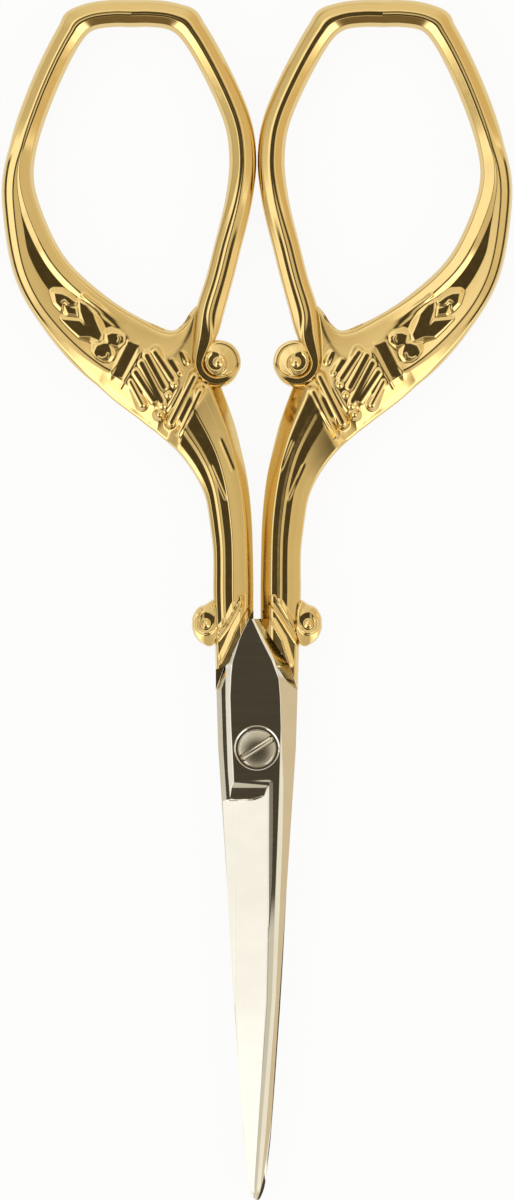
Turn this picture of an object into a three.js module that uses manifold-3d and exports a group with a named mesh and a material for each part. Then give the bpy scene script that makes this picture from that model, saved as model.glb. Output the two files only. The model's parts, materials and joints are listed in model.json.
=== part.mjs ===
// Embroidery scissors with cast scroll handles, lying closed with the screw head up.
// Millimetres, +Z up, handles toward +Y. Each half is one blade with its tang in one cast handle,
// and the two halves cross on a slotted pivot screw. Both halves have the same shape: the rear one
// is the front one given half a turn about the long axis.
import * as THREE from 'three';
import { mergeVertices } from 'three/addons/utils/BufferGeometryUtils.js';
import Module from 'manifold-3d';

const wasm = await Module();
wasm.setup();

// Blades
const BLADE_LENGTH = 38.4; // pivot to tip
const BLADE_WIDTH = 6.6; // both blades closed, spine to spine at the pivot
const TIP_WIDTH = 1.9; // both blades closed, where the tip starts to round
const TIP_ROUNDING = 1.6;
const TIP_END_WIDTH = 0.33; // both blades closed, at the very end of the tip
const BLADE_THICKNESS = 1.7;
const TIP_THICKNESS = 0.75;
const EDGE_THICKNESS = 0.12;
const EDGE_INSET = 0.2; // cutting edge inside the other blade's spine
const RIDGE_BACK = 2.0; // spine to the ridge of the ground face, at the ricasso
const RIDGE_BACK_TIP = 1.25;
const SPINE_FLAT = 0.5; // narrow flat beside the ridge, at the ricasso
const BACK_CHAMFER = 1.2;
const BACK_FACET = { across: 0.35, drop: 0.1 }; // first facet, in parts of the chamfer and the height
const SPINE_DROP_RATIO = 0.45; // top of the spine below the face, as a part of the face's height
const PLUNGE_DOWN = 2.9; // pivot to where the ground face starts
const PLUNGE_LENGTH = 1.6;
const BLADE_GAP = 0.1; // between the inner faces of the two blades

// Ricasso, the flat of the blade round the screw
const RICASSO_WIDTH = 7.0; // both halves, at the shoulder
const RICASSO_INSET = 0.8; // front ricasso stands back from the rear one's spine
const RICASSO_CHAMFER = 0.4;
const RICASSO_BACK_CHAMFER = 1.45;
const SHOULDER_UP = 5.0; // pivot to the outer end of the slanting shoulder
const SHOULDER_TOP = 11.2; // pivot to the inner end of the shoulder
const BOLSTER_TOP = 12.2; // pivot to the top of the V where steel meets the handle
const BOLSTER_SLOPE_RATIO = 1.75; // fall of the V for each millimetre outward
const SEAM_GAP = 0.25;

// Tang and its socket
const TANG_LENGTH = 10.0;
const TANG_START = 6.6; // pivot to the root of the tang
const TANG_WIDTH = 1.7;
const TANG_END_WIDTH = 1.2;
const TANG_THICKNESS = 0.8;
const TANG_LIFT = 0.15; // tang above the inner face of its blade
const SOCKET_CLEARANCE = 0.15;

// Pivot screw
const HEAD_DIAMETER = 3.3;
const HEAD_HEIGHT = 0.75;
const HEAD_CROWN = 0.12;
const CROWN_STEPS = [1, 0.85, 0.45, 0]; // places on the crown in its radii, from the rim in
const HEAD_CLEARANCE = 0.25; // ring round the head in its counterbore
const SEAT_GAP = 0.1; // under the head
const SLOT_WIDTH = 0.48;
const SLOT_DEPTH = 0.45;
const SLOT_ANGLE = 33; // degrees from +X
const SCREW_DIAMETER = 2.2; // plain part that the front blade turns on
const THREAD_DIAMETER = 1.8;
const PIVOT_CLEARANCE = 0.05;
const THREAD_CLEARANCE = 0.1;
const SCREW_END_RECESS = 0.15;

// Handles
const BOW_GAP = 0.26; // between the two closed bows
const RAIL_WIDTH = 2.3;
const HOLE_WIDTH = 16.6;
const HOLE_LENGTH = 25.8;
const HOLE_UP = 35.5; // pivot to the lowest point of the finger hole
const LEAF_WIDTH = 6.8;
const BOW_THICKNESS = 2.9;
const SHANK_WIDTH = 3.45;
const SHANK_GAP = 0.6; // between the two shanks
const SHANK_THICKNESS = 3.1;

// Ornament of the handles, the same on both faces
const PANEL_DEPTH = 0.4;
const PANEL_INNER_RIM = 1.2;
const PANEL_OUTER_RIM = 1.65;
const PANEL_LEAST_WIDTH = 0.3;
const RELIEF_RISE = 0.2; // ribs and ridges above the shank's faces
const REED_COUNT = 6;
const REED_WIDTH = 0.6;
const RIDGE_WIDTH = 0.7;
const RIDGE_BEVEL_RATIO = 0.3; // sloping side of a ridge as a part of its width
const BOLSTER_RIDGES = [1, 2.6]; // above the V, in ridge widths
const REED_SPREAD_RATIO = 0.36; // outer reeds from the middle, as a part of the limb's width
const GUSSET_WIDTH = 2.7; // web that rounds the foot of the finger hole
const VOLUTE_RADIUS = 2.05;
const VOLUTE_THICKNESS = 2.3;
const VOLUTE_BAND = 1.0; // width of the scroll band where it leaves the rail
const VOLUTE_EYE = 0.5; // radius of the ball in the scroll
const VOLUTE_IN = 3.35; // centre line to the scroll's centre
const VOLUTE_BELOW_HOLE = 2.75;
const FOOT_SCROLL_RADIUS = 1.45; // small scroll beside the foot of the shank
const FOOT_SCROLL_OUT = 4.3;
const FOOT_SCROLL_UP = 10.4;
const FOOT_SCROLL_BAND = 0.9;
const FOOT_SCROLL_LEAD = [2.6, 1.7]; // the band's start above the scroll's centre, in its radii
const FOOT_SCROLL_TURN = [60, 10, -40]; // degrees up from straight out
const SCROLL_WEB_INSET = 0.15; // flat body of a scroll inside its band's outer side
const SCROLL_TURNS = 1.35; // turns of the band from its eye to the rail
const SCROLL_POINTS = 9;
const SCROLL_START = { radius: 1.5, width: 0.45 }; // of the band, in eyes and in its width at the rail
const SCROLL_FLAT_RATIO = 0.8; // flat of a scroll's face as a part of its radius
const SCROLL_SIDE_RATIO = 0.6; // straight side of a scroll as a part of its thickness

const BLADE_INNER = BLADE_GAP / 2;
const BLADE_OUTER = BLADE_INNER + BLADE_THICKNESS;
const HOLE_IN = BOW_GAP / 2 + RAIL_WIDTH;
const HANDLE_TOP = HOLE_UP + HOLE_LENGTH + RAIL_WIDTH;

// Finger hole as fractions of its width (from the centre line) and length (from its lowest point):
// from the middle of the top bar out, down the outer rail and along the leaf, then up the inner rail.
const OUTER_HOLE = [
  [0.5, 1],
  [0.6, 1],
  [0.7, 0.988],
  [0.752, 0.955],
  [0.88, 0.795],
  [0.985, 0.6],
  [1, 0.5],
  [0.962, 0.4],
  [0.847, 0.248],
  [0.703, 0.151],
  [0.486, 0.052],
];
const HOLE_FOOT = [0.28, 0];
const INNER_HOLE = [
  [0.165, 0.095],
  [0.07, 0.3],
  [0.016, 0.45],
  [0, 0.57],
  [0.03, 0.69],
  [0.24, 0.955],
  [0.305, 0.99],
  [0.4, 1],
];
const HOLE_SHAPE = [...OUTER_HOLE, HOLE_FOOT, ...INNER_HOLE];
const LEAF_END = OUTER_HOLE.length - 1;
const INNER_RAIL_START = OUTER_HOLE.length + 1;
const LEAF_SWELL = { from: 0.6, to: 0.05, power: 1.4 }; // heights in the hole, and how fast it widens

// Places along the outer limb, counted in points of its plan from the end of the leaf.
const SLAB_STRETCH = [-4.6, 0]; // where the rail's section turns into the slab's
const PANEL_STRETCH = [-3.6, 0.1];
const REED_STRETCH = [0.35, 1.3];
const BAND_PLACES = [0.2, 1.55, 1.95];
const STEPS_PER_POINT = 2;

// Shank from the leaf down: height as a part of the stretch from the bolster to the hole, outward
// offset as a part of the way from the straight shank's middle to the hole's, and width added to the
// straight shank's as a part of what the leaf adds.
const SHANK_SHAPE = [
  [0.8, 0.695, 1.045],
  [0.705, 0.5, 0.746],
  [0.61, 0.287, 0.627],
  [0.485, 0.138, 0.3],
  [0.37, 0.063, 0.134],
  [0.24, 0.0115, 0.045],
  [0.1, 0, 0],
  [0, 0, 0.03],
  [-0.4, -0.0115, 0.03],
];

// Cross sections of the cast bar as fractions of half its width (inner side -1, outer side 1)
// and half its thickness: a crested rail for the bow and a flatter slab for the shank.
const RAIL_SECTION = [[-1, 0.32], [-0.78, 0.72], [-0.15, 1], [0.45, 0.95], [0.85, 0.7], [1, 0.3]];
const SLAB_SECTION = [[-1, 0.45], [-0.9, 0.85], [-0.55, 1], [0.5, 1], [0.88, 0.85], [1, 0.4]];

const { lerp, clamp, smoothstep } = THREE.MathUtils;

// Plan point of the front half, whose handle is on the left: distance out from the centre line,
// distance up from the pivot and, where a curve carries it, the width of the bar there.
const plan = (out, up, width = 0) => new THREE.Vector3(-out, up, width);

function signedVolume(geometry) {
  const position = geometry.getAttribute('position');
  const index = geometry.getIndex();
  const [a, b, c] = [new THREE.Vector3(), new THREE.Vector3(), new THREE.Vector3()];
  let total = 0;
  for (let i = 0; i < index.count; i += 3) {
    a.fromBufferAttribute(position, index.getX(i));
    b.fromBufferAttribute(position, index.getX(i + 1));
    c.fromBufferAttribute(position, index.getX(i + 2));
    total += a.dot(b.cross(c)) / 6;
  }
  return total;
}

// Closed geometry to a solid, with shared corners merged and its faces turned outward.
function solid(geometry) {
  const bare = geometry.clone();
  bare.deleteAttribute('normal');
  bare.deleteAttribute('uv');
  const merged = mergeVertices(bare);
  const triVerts = Uint32Array.from(merged.getIndex().array);
  if (signedVolume(merged) < 0) triVerts.reverse();
  const vertProperties = Float32Array.from(merged.getAttribute('position').array);
  return new wasm.Manifold(new wasm.Mesh({ numProp: 3, vertProperties, triVerts }));
}

function toGeometry(manifold) {
  const { vertProperties, triVerts } = manifold.getMesh();
  const geometry = new THREE.BufferGeometry();
  geometry.setAttribute('position', new THREE.BufferAttribute(vertProperties, 3));
  geometry.setIndex(new THREE.BufferAttribute(triVerts, 1));
  geometry.computeVertexNormals();
  return geometry;
}

const union = (solids) => solids.reduce((whole, piece) => whole.add(piece));

// Skin over a row of rings with equal point counts, closed by a fan at both ends.
function loft(rings) {
  const count = rings[0].length;
  const index = [];
  for (let r = 0; r + 1 < rings.length; r++) {
    for (let p = 0; p < count; p++) {
      const [a, b] = [r * count + p, r * count + ((p + 1) % count)];
      index.push(a, b, a + count, b, b + count, a + count);
    }
  }
  const last = (rings.length - 1) * count;
  for (let p = 1; p + 1 < count; p++) {
    index.push(0, p + 1, p, last, last + p, last + p + 1);
  }
  const geometry = new THREE.BufferGeometry().setFromPoints(rings.flat());
  geometry.setIndex(index);
  return solid(geometry);
}

function prism(points, low, high) {
  const shape = new THREE.Shape(points.map(([x, y]) => new THREE.Vector2(x, y)));
  const geometry = new THREE.ExtrudeGeometry(shape, { depth: high - low, bevelEnabled: false });
  return solid(geometry.translate(0, 0, low));
}

function turned(profile, sides) {
  const points = profile.map(([radius, height]) => new THREE.Vector2(radius, height));
  return solid(new THREE.LatheGeometry(points, sides).rotateX(Math.PI / 2));
}

function disc(radius, low, high, sides) {
  return turned([[0, low], [radius, low], [radius, high], [0, high]], sides);
}

// A bar's plan: a curve whose third coordinate carries the width, and places measured across it.
function barPlan(points) {
  const path = new THREE.CatmullRomCurve3(points, false, 'centripetal');
  const across = (t) => {
    const along = path.getTangent(t).setZ(0).normalize();
    return new THREE.Vector3(along.y, -along.x, 0);
  };
  const width = (t) => path.getPoint(t).z;
  const at = (t, offset) => path.getPoint(t).setZ(0).addScaledVector(across(t), offset);
  return { spans: points.length - 1, width, at };
}

// Sweep along part of a bar: ringAt gives each ring as [offset across, height] pairs.
function sweep(bar, from, to, steps, ringAt) {
  const rings = Array.from({ length: steps + 1 }, (_, i) => {
    const t = lerp(from, to, i / steps);
    return ringAt(t).map(([offset, height]) => bar.at(t, offset).setZ(height));
  });
  return loft(rings);
}

// Closed ring of a section that is alike on both faces.
function sectionRing(section, width, thickness) {
  const top = section.map(([v, w]) => [v * width / 2, w * thickness / 2]);
  const bottom = top.map(([offset, height]) => [offset, -height]).reverse();
  return [...top, ...bottom];
}

const holeCurve = new THREE.CatmullRomCurve3(
  HOLE_SHAPE.map(([f, g]) => plan(HOLE_IN + f * HOLE_WIDTH, HOLE_UP + g * HOLE_LENGTH)),
  true,
  'centripetal',
);

// Middle of the rail beside one point of the finger hole, with the rail's width there.
function railPoint(i, width) {
  const t = (i % HOLE_SHAPE.length) / HOLE_SHAPE.length;
  const along = holeCurve.getTangent(t);
  const outward = new THREE.Vector3(along.y, -along.x, 0);
  return holeCurve.getPoint(t).addScaledVector(outward, width / 2).setZ(width);
}

function leafWidth(i) {
  const { from, to, power } = LEAF_SWELL;
  const swell = clamp((from - HOLE_SHAPE[i][1]) / (from - to), 0, 1);
  return RAIL_WIDTH + (LEAF_WIDTH - RAIL_WIDTH) * swell ** power;
}

const shankMiddle = SHANK_GAP / 2 + SHANK_WIDTH / 2;
const shankReach = HOLE_IN + HOLE_WIDTH / 2 - shankMiddle;

const voluteCentre = plan(VOLUTE_IN, HOLE_UP - VOLUTE_BELOW_HOLE);

// Scroll band from its eye outward to the foot of the inner rail.
function scrollBand() {
  return Array.from({ length: SCROLL_POINTS + 1 }, (_, i) => {
    const share = i / SCROLL_POINTS;
    const angle = lerp(-SCROLL_TURNS, 0, share) * 2 * Math.PI;
    const radius = lerp(VOLUTE_EYE * SCROLL_START.radius, VOLUTE_RADIUS - VOLUTE_BAND / 2, share);
    const width = VOLUTE_BAND * lerp(SCROLL_START.width, 1, share);
    return plan(VOLUTE_IN + radius * Math.cos(angle), voluteCentre.y + radius * Math.sin(angle), width);
  });
}

// Plan of the whole limb: scroll, inner rail, top bar, outer rail, leaf and shank to the bolster.
const innerPoints = scrollBand();
for (let i = INNER_RAIL_START; i < HOLE_SHAPE.length; i++) innerPoints.push(railPoint(i, RAIL_WIDTH));
const outerPoints = [];
for (let i = 0; i <= LEAF_END; i++) outerPoints.push(railPoint(i, leafWidth(i)));
for (const [g, out, more] of SHANK_SHAPE) {
  const width = lerp(SHANK_WIDTH, LEAF_WIDTH, more);
  outerPoints.push(plan(shankMiddle + out * shankReach, lerp(BOLSTER_TOP, HOLE_UP, g), width));
}
const limb = barPlan([...innerPoints, ...outerPoints]);
const topBar = innerPoints.length / limb.spans; // curve position of the middle of the top bar
const limbAt = (place) => (innerPoints.length + LEAF_END + place) / limb.spans; // of a place by the leaf

// The limb as two solids that meet in the middle of the top bar.
function limbSolids() {
  const [slabFrom, slabTo] = SLAB_STRETCH.map(limbAt);
  const ring = (t) => {
    const slab = smoothstep(t, slabFrom, slabTo);
    const section = RAIL_SECTION.map(([v, w], k) => {
      const [slabV, slabW] = SLAB_SECTION[k];
      return [lerp(v, slabV, slab), lerp(w, slabW, slab)];
    });
    return sectionRing(section, limb.width(t), lerp(BOW_THICKNESS, SHANK_THICKNESS, slab));
  };
  return [
    sweep(limb, 0, topBar, innerPoints.length * STEPS_PER_POINT, ring),
    sweep(limb, topBar, 1, (outerPoints.length - 1) * STEPS_PER_POINT, ring),
  ];
}

// Recess of the leaf panel on one face, pointed where the leaf narrows into the rail.
function panelRecess(face) {
  const half = SHANK_THICKNESS / 2;
  const ring = (t) => {
    const edge = limb.width(t) / 2;
    const low = -edge + PANEL_INNER_RIM;
    const high = Math.max(edge - PANEL_OUTER_RIM, low + PANEL_LEAST_WIDTH);
    const floor = face * (half - PANEL_DEPTH);
    const lid = face * (half + PANEL_DEPTH);
    return [[low, floor], [high, floor], [high, lid], [low, lid]];
  };
  const [from, to] = PANEL_STRETCH.map(limbAt);
  return sweep(limb, from, to, 8, ring);
}

// Straight rounded ridge across the whole thickness, from one plan point to another.
function ridge(from, to, width, thickness) {
  const length = from.distanceTo(to);
  const bevel = width * RIDGE_BEVEL_RATIO;
  const radius = width / 2 - bevel;
  const shape = new THREE.Shape();
  shape.absarc(length, 0, radius, -Math.PI / 2, Math.PI / 2);
  shape.absarc(0, 0, radius, Math.PI / 2, 1.5 * Math.PI);
  const geometry = new THREE.ExtrudeGeometry(shape, {
    depth: thickness - 2 * bevel,
    bevelThickness: bevel,
    bevelSize: bevel,
    bevelSegments: 1,
    curveSegments: 2,
  });
  geometry.translate(0, 0, -thickness / 2 + bevel);
  geometry.rotateZ(Math.atan2(to.y - from.y, to.x - from.x));
  return solid(geometry.translate(from.x, from.y, 0));
}

// Bound reeds between the leaf and the shank, with the bands that tie them.
function reeds() {
  const thickness = SHANK_THICKNESS + 2 * RELIEF_RISE;
  const [start, end] = REED_STRETCH.map(limbAt);
  const pieces = [];
  for (let k = 0; k < REED_COUNT; k++) {
    const share = lerp(-REED_SPREAD_RATIO, REED_SPREAD_RATIO, k / (REED_COUNT - 1));
    const from = limb.at(start, share * limb.width(start));
    const to = limb.at(end, share * limb.width(end));
    pieces.push(ridge(from, to, REED_WIDTH, thickness));
  }
  for (const t of BAND_PLACES.map(limbAt)) {
    const reach = limb.width(t) / 2 - RIDGE_WIDTH / 2;
    pieces.push(ridge(limb.at(t, -reach), limb.at(t, reach), RIDGE_WIDTH, thickness));
  }
  return pieces;
}

const bolsterLine = (out) => BOLSTER_TOP - BOLSTER_SLOPE_RATIO * out;

// Two ridges along the V at the foot of the shank.
function bolsterRidges() {
  const thickness = SHANK_THICKNESS + 2 * RELIEF_RISE;
  const [near, far] = [SHANK_GAP / 2 + RIDGE_WIDTH, SHANK_GAP / 2 + SHANK_WIDTH - RIDGE_WIDTH / 2];
  return BOLSTER_RIDGES.map((widths) => {
    const above = RIDGE_WIDTH * widths;
    const [from, to] = [near, far].map((out) => plan(out, bolsterLine(out) + above));
    return ridge(from, to, RIDGE_WIDTH, thickness);
  });
}

// Web between the leaf and the inner rail, under the foot of the finger hole.
function gusset() {
  const up = HOLE_UP - GUSSET_WIDTH / 2;
  const [near, far] = [VOLUTE_IN + VOLUTE_RADIUS, HOLE_IN + HOLE_FOOT[0] * HOLE_WIDTH];
  return ridge(plan(near, up), plan(far, up), GUSSET_WIDTH, VOLUTE_THICKNESS);
}

// Flat round body of a scroll with a ball in the middle, alike on both faces.
function scroll(centre, bandRadius) {
  const [radius, half] = [bandRadius - SCROLL_WEB_INSET, VOLUTE_THICKNESS / 2];
  const [rim, side] = [radius * SCROLL_FLAT_RATIO, half * SCROLL_SIDE_RATIO];
  const body = [[0, -half], [rim, -half], [radius, -side], [radius, side], [rim, half], [0, half]];
  const ball = new THREE.SphereGeometry(1, 10, 6).rotateX(Math.PI / 2);
  ball.scale(VOLUTE_EYE, VOLUTE_EYE, BOW_THICKNESS / 2);
  return turned(body, 18).add(solid(ball)).translate([centre.x, centre.y, 0]);
}

// Band that leaves the shank's outer side and runs round the top of the small scroll.
function footScrollBand() {
  const inside = SHANK_GAP / 2 + SHANK_WIDTH - FOOT_SCROLL_BAND;
  const lead = FOOT_SCROLL_LEAD.map((radii) => {
    const up = FOOT_SCROLL_UP + radii * FOOT_SCROLL_RADIUS;
    return plan(inside, up, FOOT_SCROLL_BAND);
  });
  const radius = FOOT_SCROLL_RADIUS - FOOT_SCROLL_BAND / 2;
  const round = FOOT_SCROLL_TURN.map((degrees) => {
    const angle = THREE.MathUtils.degToRad(degrees);
    const [out, up] = [radius * Math.cos(angle), radius * Math.sin(angle)];
    return plan(FOOT_SCROLL_OUT + out, FOOT_SCROLL_UP + up, FOOT_SCROLL_BAND);
  });
  const band = barPlan([...lead, ...round]);
  const ring = (t) => sectionRing(RAIL_SECTION, band.width(t), BOW_THICKNESS);
  return sweep(band, 0, 1, band.spans * STEPS_PER_POINT, ring);
}

// Straight tang, or its socket when grown by a clearance.
function tang(grow) {
  const low = BLADE_INNER + TANG_LIFT - grow;
  const high = BLADE_INNER + TANG_LIFT + TANG_THICKNESS + grow;
  const ends = [[TANG_START - grow, TANG_WIDTH], [TANG_START + TANG_LENGTH + grow, TANG_END_WIDTH]];
  return loft(ends.map(([up, width]) => {
    const [near, far] = [shankMiddle - width / 2 - grow, shankMiddle + width / 2 + grow];
    const corners = [[near, low], [far, low], [far, high], [near, high]];
    return corners.map(([out, height]) => plan(out, up).setZ(height));
  }));
}

// Front handle: the upper layer ends at the V above its own blade, and the lower layer ends at the
// slanting shoulder of the other half's ricasso.
function handleSolid() {
  const scrolls = [
    scroll(voluteCentre, VOLUTE_RADIUS),
    scroll(plan(FOOT_SCROLL_OUT, FOOT_SCROLL_UP), FOOT_SCROLL_RADIUS),
    footScrollBand(),
  ];
  const cast = union([...limbSolids(), gusset(), ...scrolls]);
  const recessed = cast.subtract(panelRecess(1)).subtract(panelRecess(-1));
  const ornamented = union([recessed, ...reeds(), ...bolsterRidges()]);

  const reach = RICASSO_WIDTH + SHANK_WIDTH;
  const high = SHANK_THICKNESS;
  const upperLayer = prism([
    [-reach, bolsterLine(reach)],
    [0, BOLSTER_TOP],
    [reach, BOLSTER_TOP],
    [reach, -reach],
    [-reach, -reach],
  ], -BLADE_INNER, high);

  const [half, rise] = [RICASSO_WIDTH / 2, SHOULDER_TOP - SHOULDER_UP];
  const lift = SEAM_GAP * Math.hypot(half, rise) / half;
  const belowShoulder = prism([
    [-reach, SHOULDER_UP + lift],
    [-half, SHOULDER_UP + lift],
    [0, SHOULDER_TOP + lift],
    [reach, SHOULDER_TOP + lift],
    [reach, -reach],
    [-reach, -reach],
  ], -high, high);

  return ornamented.subtract(upperLayer).subtract(belowShoulder).subtract(tang(SOCKET_CLEARANCE));
}

// Half width of the closed blades on the spine side: slanting shoulder, ricasso, taper.
function spineAt(y) {
  const half = RICASSO_WIDTH / 2;
  if (y > SHOULDER_UP) return half * (SHOULDER_TOP - y) / (SHOULDER_TOP - SHOULDER_UP);
  if (y > 0) return lerp(BLADE_WIDTH / 2, half, y / SHOULDER_UP);
  return lerp(BLADE_WIDTH / 2, TIP_WIDTH / 2, clamp(-y / (BLADE_LENGTH - TIP_ROUNDING), 0, 1));
}

// Blade section at one height, from the cutting edge's foot over the outer face to the spine's foot.
function bladeRing(y) {
  const toTip = clamp(-y / BLADE_LENGTH, 0, 1);
  const ricasso = smoothstep(y, -PLUNGE_DOWN - PLUNGE_LENGTH, -PLUNGE_DOWN);
  const shoulder = smoothstep(y, SHOULDER_UP, SHOULDER_TOP);
  const face = BLADE_INNER + lerp(BLADE_THICKNESS, TIP_THICKNESS, toTip);
  const spine = spineAt(y);

  const seam = (BOLSTER_TOP - SEAM_GAP * Math.hypot(1, BOLSTER_SLOPE_RATIO) - y) / BOLSTER_SLOPE_RATIO;
  const stepped = Math.min(spineAt(Math.min(y, SHOULDER_UP)) - RICASSO_INSET, seam);
  const edge = -lerp(spine - EDGE_INSET * (1 - toTip), stepped, ricasso);
  const ground = spine - lerp(RIDGE_BACK, RIDGE_BACK_TIP, clamp(toTip * 2, 0, 1));
  const left = lerp(ground, edge + RICASSO_CHAMFER * (1 - shoulder / 2), ricasso);
  const chamfer = lerp(BACK_CHAMFER, lerp(RICASSO_BACK_CHAMFER, RICASSO_CHAMFER / 2, shoulder), ricasso);
  const right = Math.max(spine - chamfer, left + SPINE_FLAT * lerp(0.1, 0.6, ricasso) * (1 - shoulder));
  const side = lerp(EDGE_THICKNESS, BLADE_THICKNESS - RICASSO_CHAMFER, ricasso);

  const intoTip = clamp((TIP_ROUNDING - BLADE_LENGTH - y) / TIP_ROUNDING, 0, 1);
  const round = Math.sqrt(1 - intoTip ** 2 * (1 - (TIP_END_WIDTH / TIP_WIDTH) ** 2));
  const drop = face - BLADE_INNER;
  const corners = [
    [edge, BLADE_INNER],
    [edge, BLADE_INNER + side],
    [left, face],
    [right, face],
    [lerp(right, spine, BACK_FACET.across), face - drop * BACK_FACET.drop],
    [spine, face - drop * SPINE_DROP_RATIO],
    [spine, BLADE_INNER],
  ];
  return corners.map(([x, z]) => new THREE.Vector3(x * round, y, z));
}

function bladeSolid(boreCut) {
  const tipStart = TIP_ROUNDING - BLADE_LENGTH;
  const heights = [];
  for (const part of [1, 0.96, 0.85, 0.65, 0.35, 0]) heights.push(tipStart - TIP_ROUNDING * part);
  for (const part of [0.2, 0.4, 0.6, 0.8]) heights.push(lerp(tipStart, -PLUNGE_DOWN - PLUNGE_LENGTH, part));
  for (const part of [1, 0.75, 0.5, 0.25, 0]) heights.push(-PLUNGE_DOWN - PLUNGE_LENGTH * part);
  heights.push(0, SHOULDER_UP / 2);
  for (const part of [0, 0.2, 0.4, 0.6, 0.8, 0.98]) heights.push(lerp(SHOULDER_UP, SHOULDER_TOP, part));
  return loft(heights.map(bladeRing)).add(tang(0)).subtract(boreCut);
}

// Clearance bore and counterbore of the front blade, for the screw's plain part and head.
function frontBore() {
  const seat = BLADE_OUTER - HEAD_HEIGHT - SEAT_GAP;
  const bore = disc(SCREW_DIAMETER / 2 + PIVOT_CLEARANCE, -BLADE_THICKNESS, BLADE_OUTER, 48);
  return bore.add(disc(HEAD_DIAMETER / 2 + HEAD_CLEARANCE, seat, BLADE_OUTER + HEAD_HEIGHT, 48));
}

const rearBore = () => disc(THREAD_DIAMETER / 2 + THREAD_CLEARANCE, -BLADE_OUTER * 2, BLADE_OUTER * 2, 32);

// Slotted screw: threaded end in the rear blade, plain part in the front blade, low crowned head.
function screwSolid() {
  const [head, plain, thread] = [HEAD_DIAMETER / 2, SCREW_DIAMETER / 2, THREAD_DIAMETER / 2];
  const under = BLADE_OUTER - HEAD_HEIGHT;
  const crown = (share) => BLADE_OUTER + HEAD_CROWN * (0.5 - share ** 4);
  const profile = [
    [0, SCREW_END_RECESS - BLADE_OUTER],
    [thread, SCREW_END_RECESS - BLADE_OUTER],
    [thread, BLADE_INNER],
    [plain, BLADE_INNER],
    [plain, under],
    [head, under],
    ...CROWN_STEPS.map((share) => [head * share, crown(share)]),
  ];
  const slot = new THREE.BoxGeometry(HEAD_DIAMETER * 1.5, SLOT_WIDTH, SLOT_DEPTH * 2);
  slot.rotateZ(THREE.MathUtils.degToRad(SLOT_ANGLE)).translate(0, 0, BLADE_OUTER + HEAD_CROWN / 2);
  return turned(profile, 40).subtract(solid(slot));
}

function mesh(name, manifold, color, roughness) {
  const material = new THREE.MeshStandardMaterial({ color, roughness, metalness: 1 });
  const part = new THREE.Mesh(toGeometry(manifold), material);
  part.name = name;
  return part;
}

const GOLD = 0xd9bb72;
const STEEL = 0xb8b4a8;

const handle = handleSolid();
const front = new THREE.Group();
front.add(mesh('front_blade', bladeSolid(frontBore()), STEEL, 0.22));
front.add(mesh('front_handle', handle, GOLD, 0.25));

const rear = new THREE.Group();
rear.add(mesh('rear_blade', bladeSolid(rearBore()), STEEL, 0.22));
rear.add(mesh('rear_handle', handle, GOLD, 0.25));
rear.rotation.y = Math.PI;

// The scissors lie on the rear ricasso, centred on the whole length.
const scissors = new THREE.Group();
scissors.add(front, rear, mesh('pivot_screw', screwSolid(), 0xc4c1b8, 0.3));
scissors.position.set(0, (BLADE_LENGTH - HANDLE_TOP) / 2, BLADE_OUTER);

export default scissors;
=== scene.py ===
"""Embroidery scissors with cast scroll handles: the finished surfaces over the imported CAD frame."""
import json
import math

import bmesh
import bpy
import numpy as np
from bpy.props import FloatProperty, FloatVectorProperty, PointerProperty
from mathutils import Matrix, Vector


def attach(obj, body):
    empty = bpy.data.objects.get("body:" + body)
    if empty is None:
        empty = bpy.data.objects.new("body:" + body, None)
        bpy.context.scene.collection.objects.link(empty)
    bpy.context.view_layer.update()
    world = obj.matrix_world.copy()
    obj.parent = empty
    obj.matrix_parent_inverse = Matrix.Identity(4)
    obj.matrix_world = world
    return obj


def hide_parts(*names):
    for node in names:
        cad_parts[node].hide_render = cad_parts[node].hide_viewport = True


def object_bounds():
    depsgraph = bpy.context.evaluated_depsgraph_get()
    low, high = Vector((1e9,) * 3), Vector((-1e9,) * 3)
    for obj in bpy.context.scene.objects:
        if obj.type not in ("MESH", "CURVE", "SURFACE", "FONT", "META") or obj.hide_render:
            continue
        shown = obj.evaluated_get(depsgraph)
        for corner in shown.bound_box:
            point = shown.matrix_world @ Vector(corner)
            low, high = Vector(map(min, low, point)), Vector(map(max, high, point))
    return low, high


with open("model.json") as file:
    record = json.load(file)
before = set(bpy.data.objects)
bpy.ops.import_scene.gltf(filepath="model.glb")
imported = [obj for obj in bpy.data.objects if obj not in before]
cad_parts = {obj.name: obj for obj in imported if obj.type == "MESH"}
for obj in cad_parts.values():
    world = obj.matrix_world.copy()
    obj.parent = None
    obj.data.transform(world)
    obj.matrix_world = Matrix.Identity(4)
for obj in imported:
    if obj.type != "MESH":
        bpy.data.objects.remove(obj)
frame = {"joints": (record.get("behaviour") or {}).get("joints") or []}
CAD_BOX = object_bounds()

bl_info = {
    "name": "Embroidery scissors",
    "version": (1, 0, 0),
    "blender": (4, 5, 0),
    "location": "View3D > Sidebar > Scissors",
    "description": "Builds the cast handles, ground blades and pivot screw of small pointed scissors",
    "category": "Add Mesh",
}

# Shapes are in millimetres about the pivot.
MM = 0.001
PIVOT = np.array(frame["joints"][0]["pos_m"]) / MM

# Each half: the CAD body that its pieces ride on, and whether it lies turned half a turn about its length.
HALVES = {"front": ("front_half", False), "rear": ("rear_half", True)}


# Property groups


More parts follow.
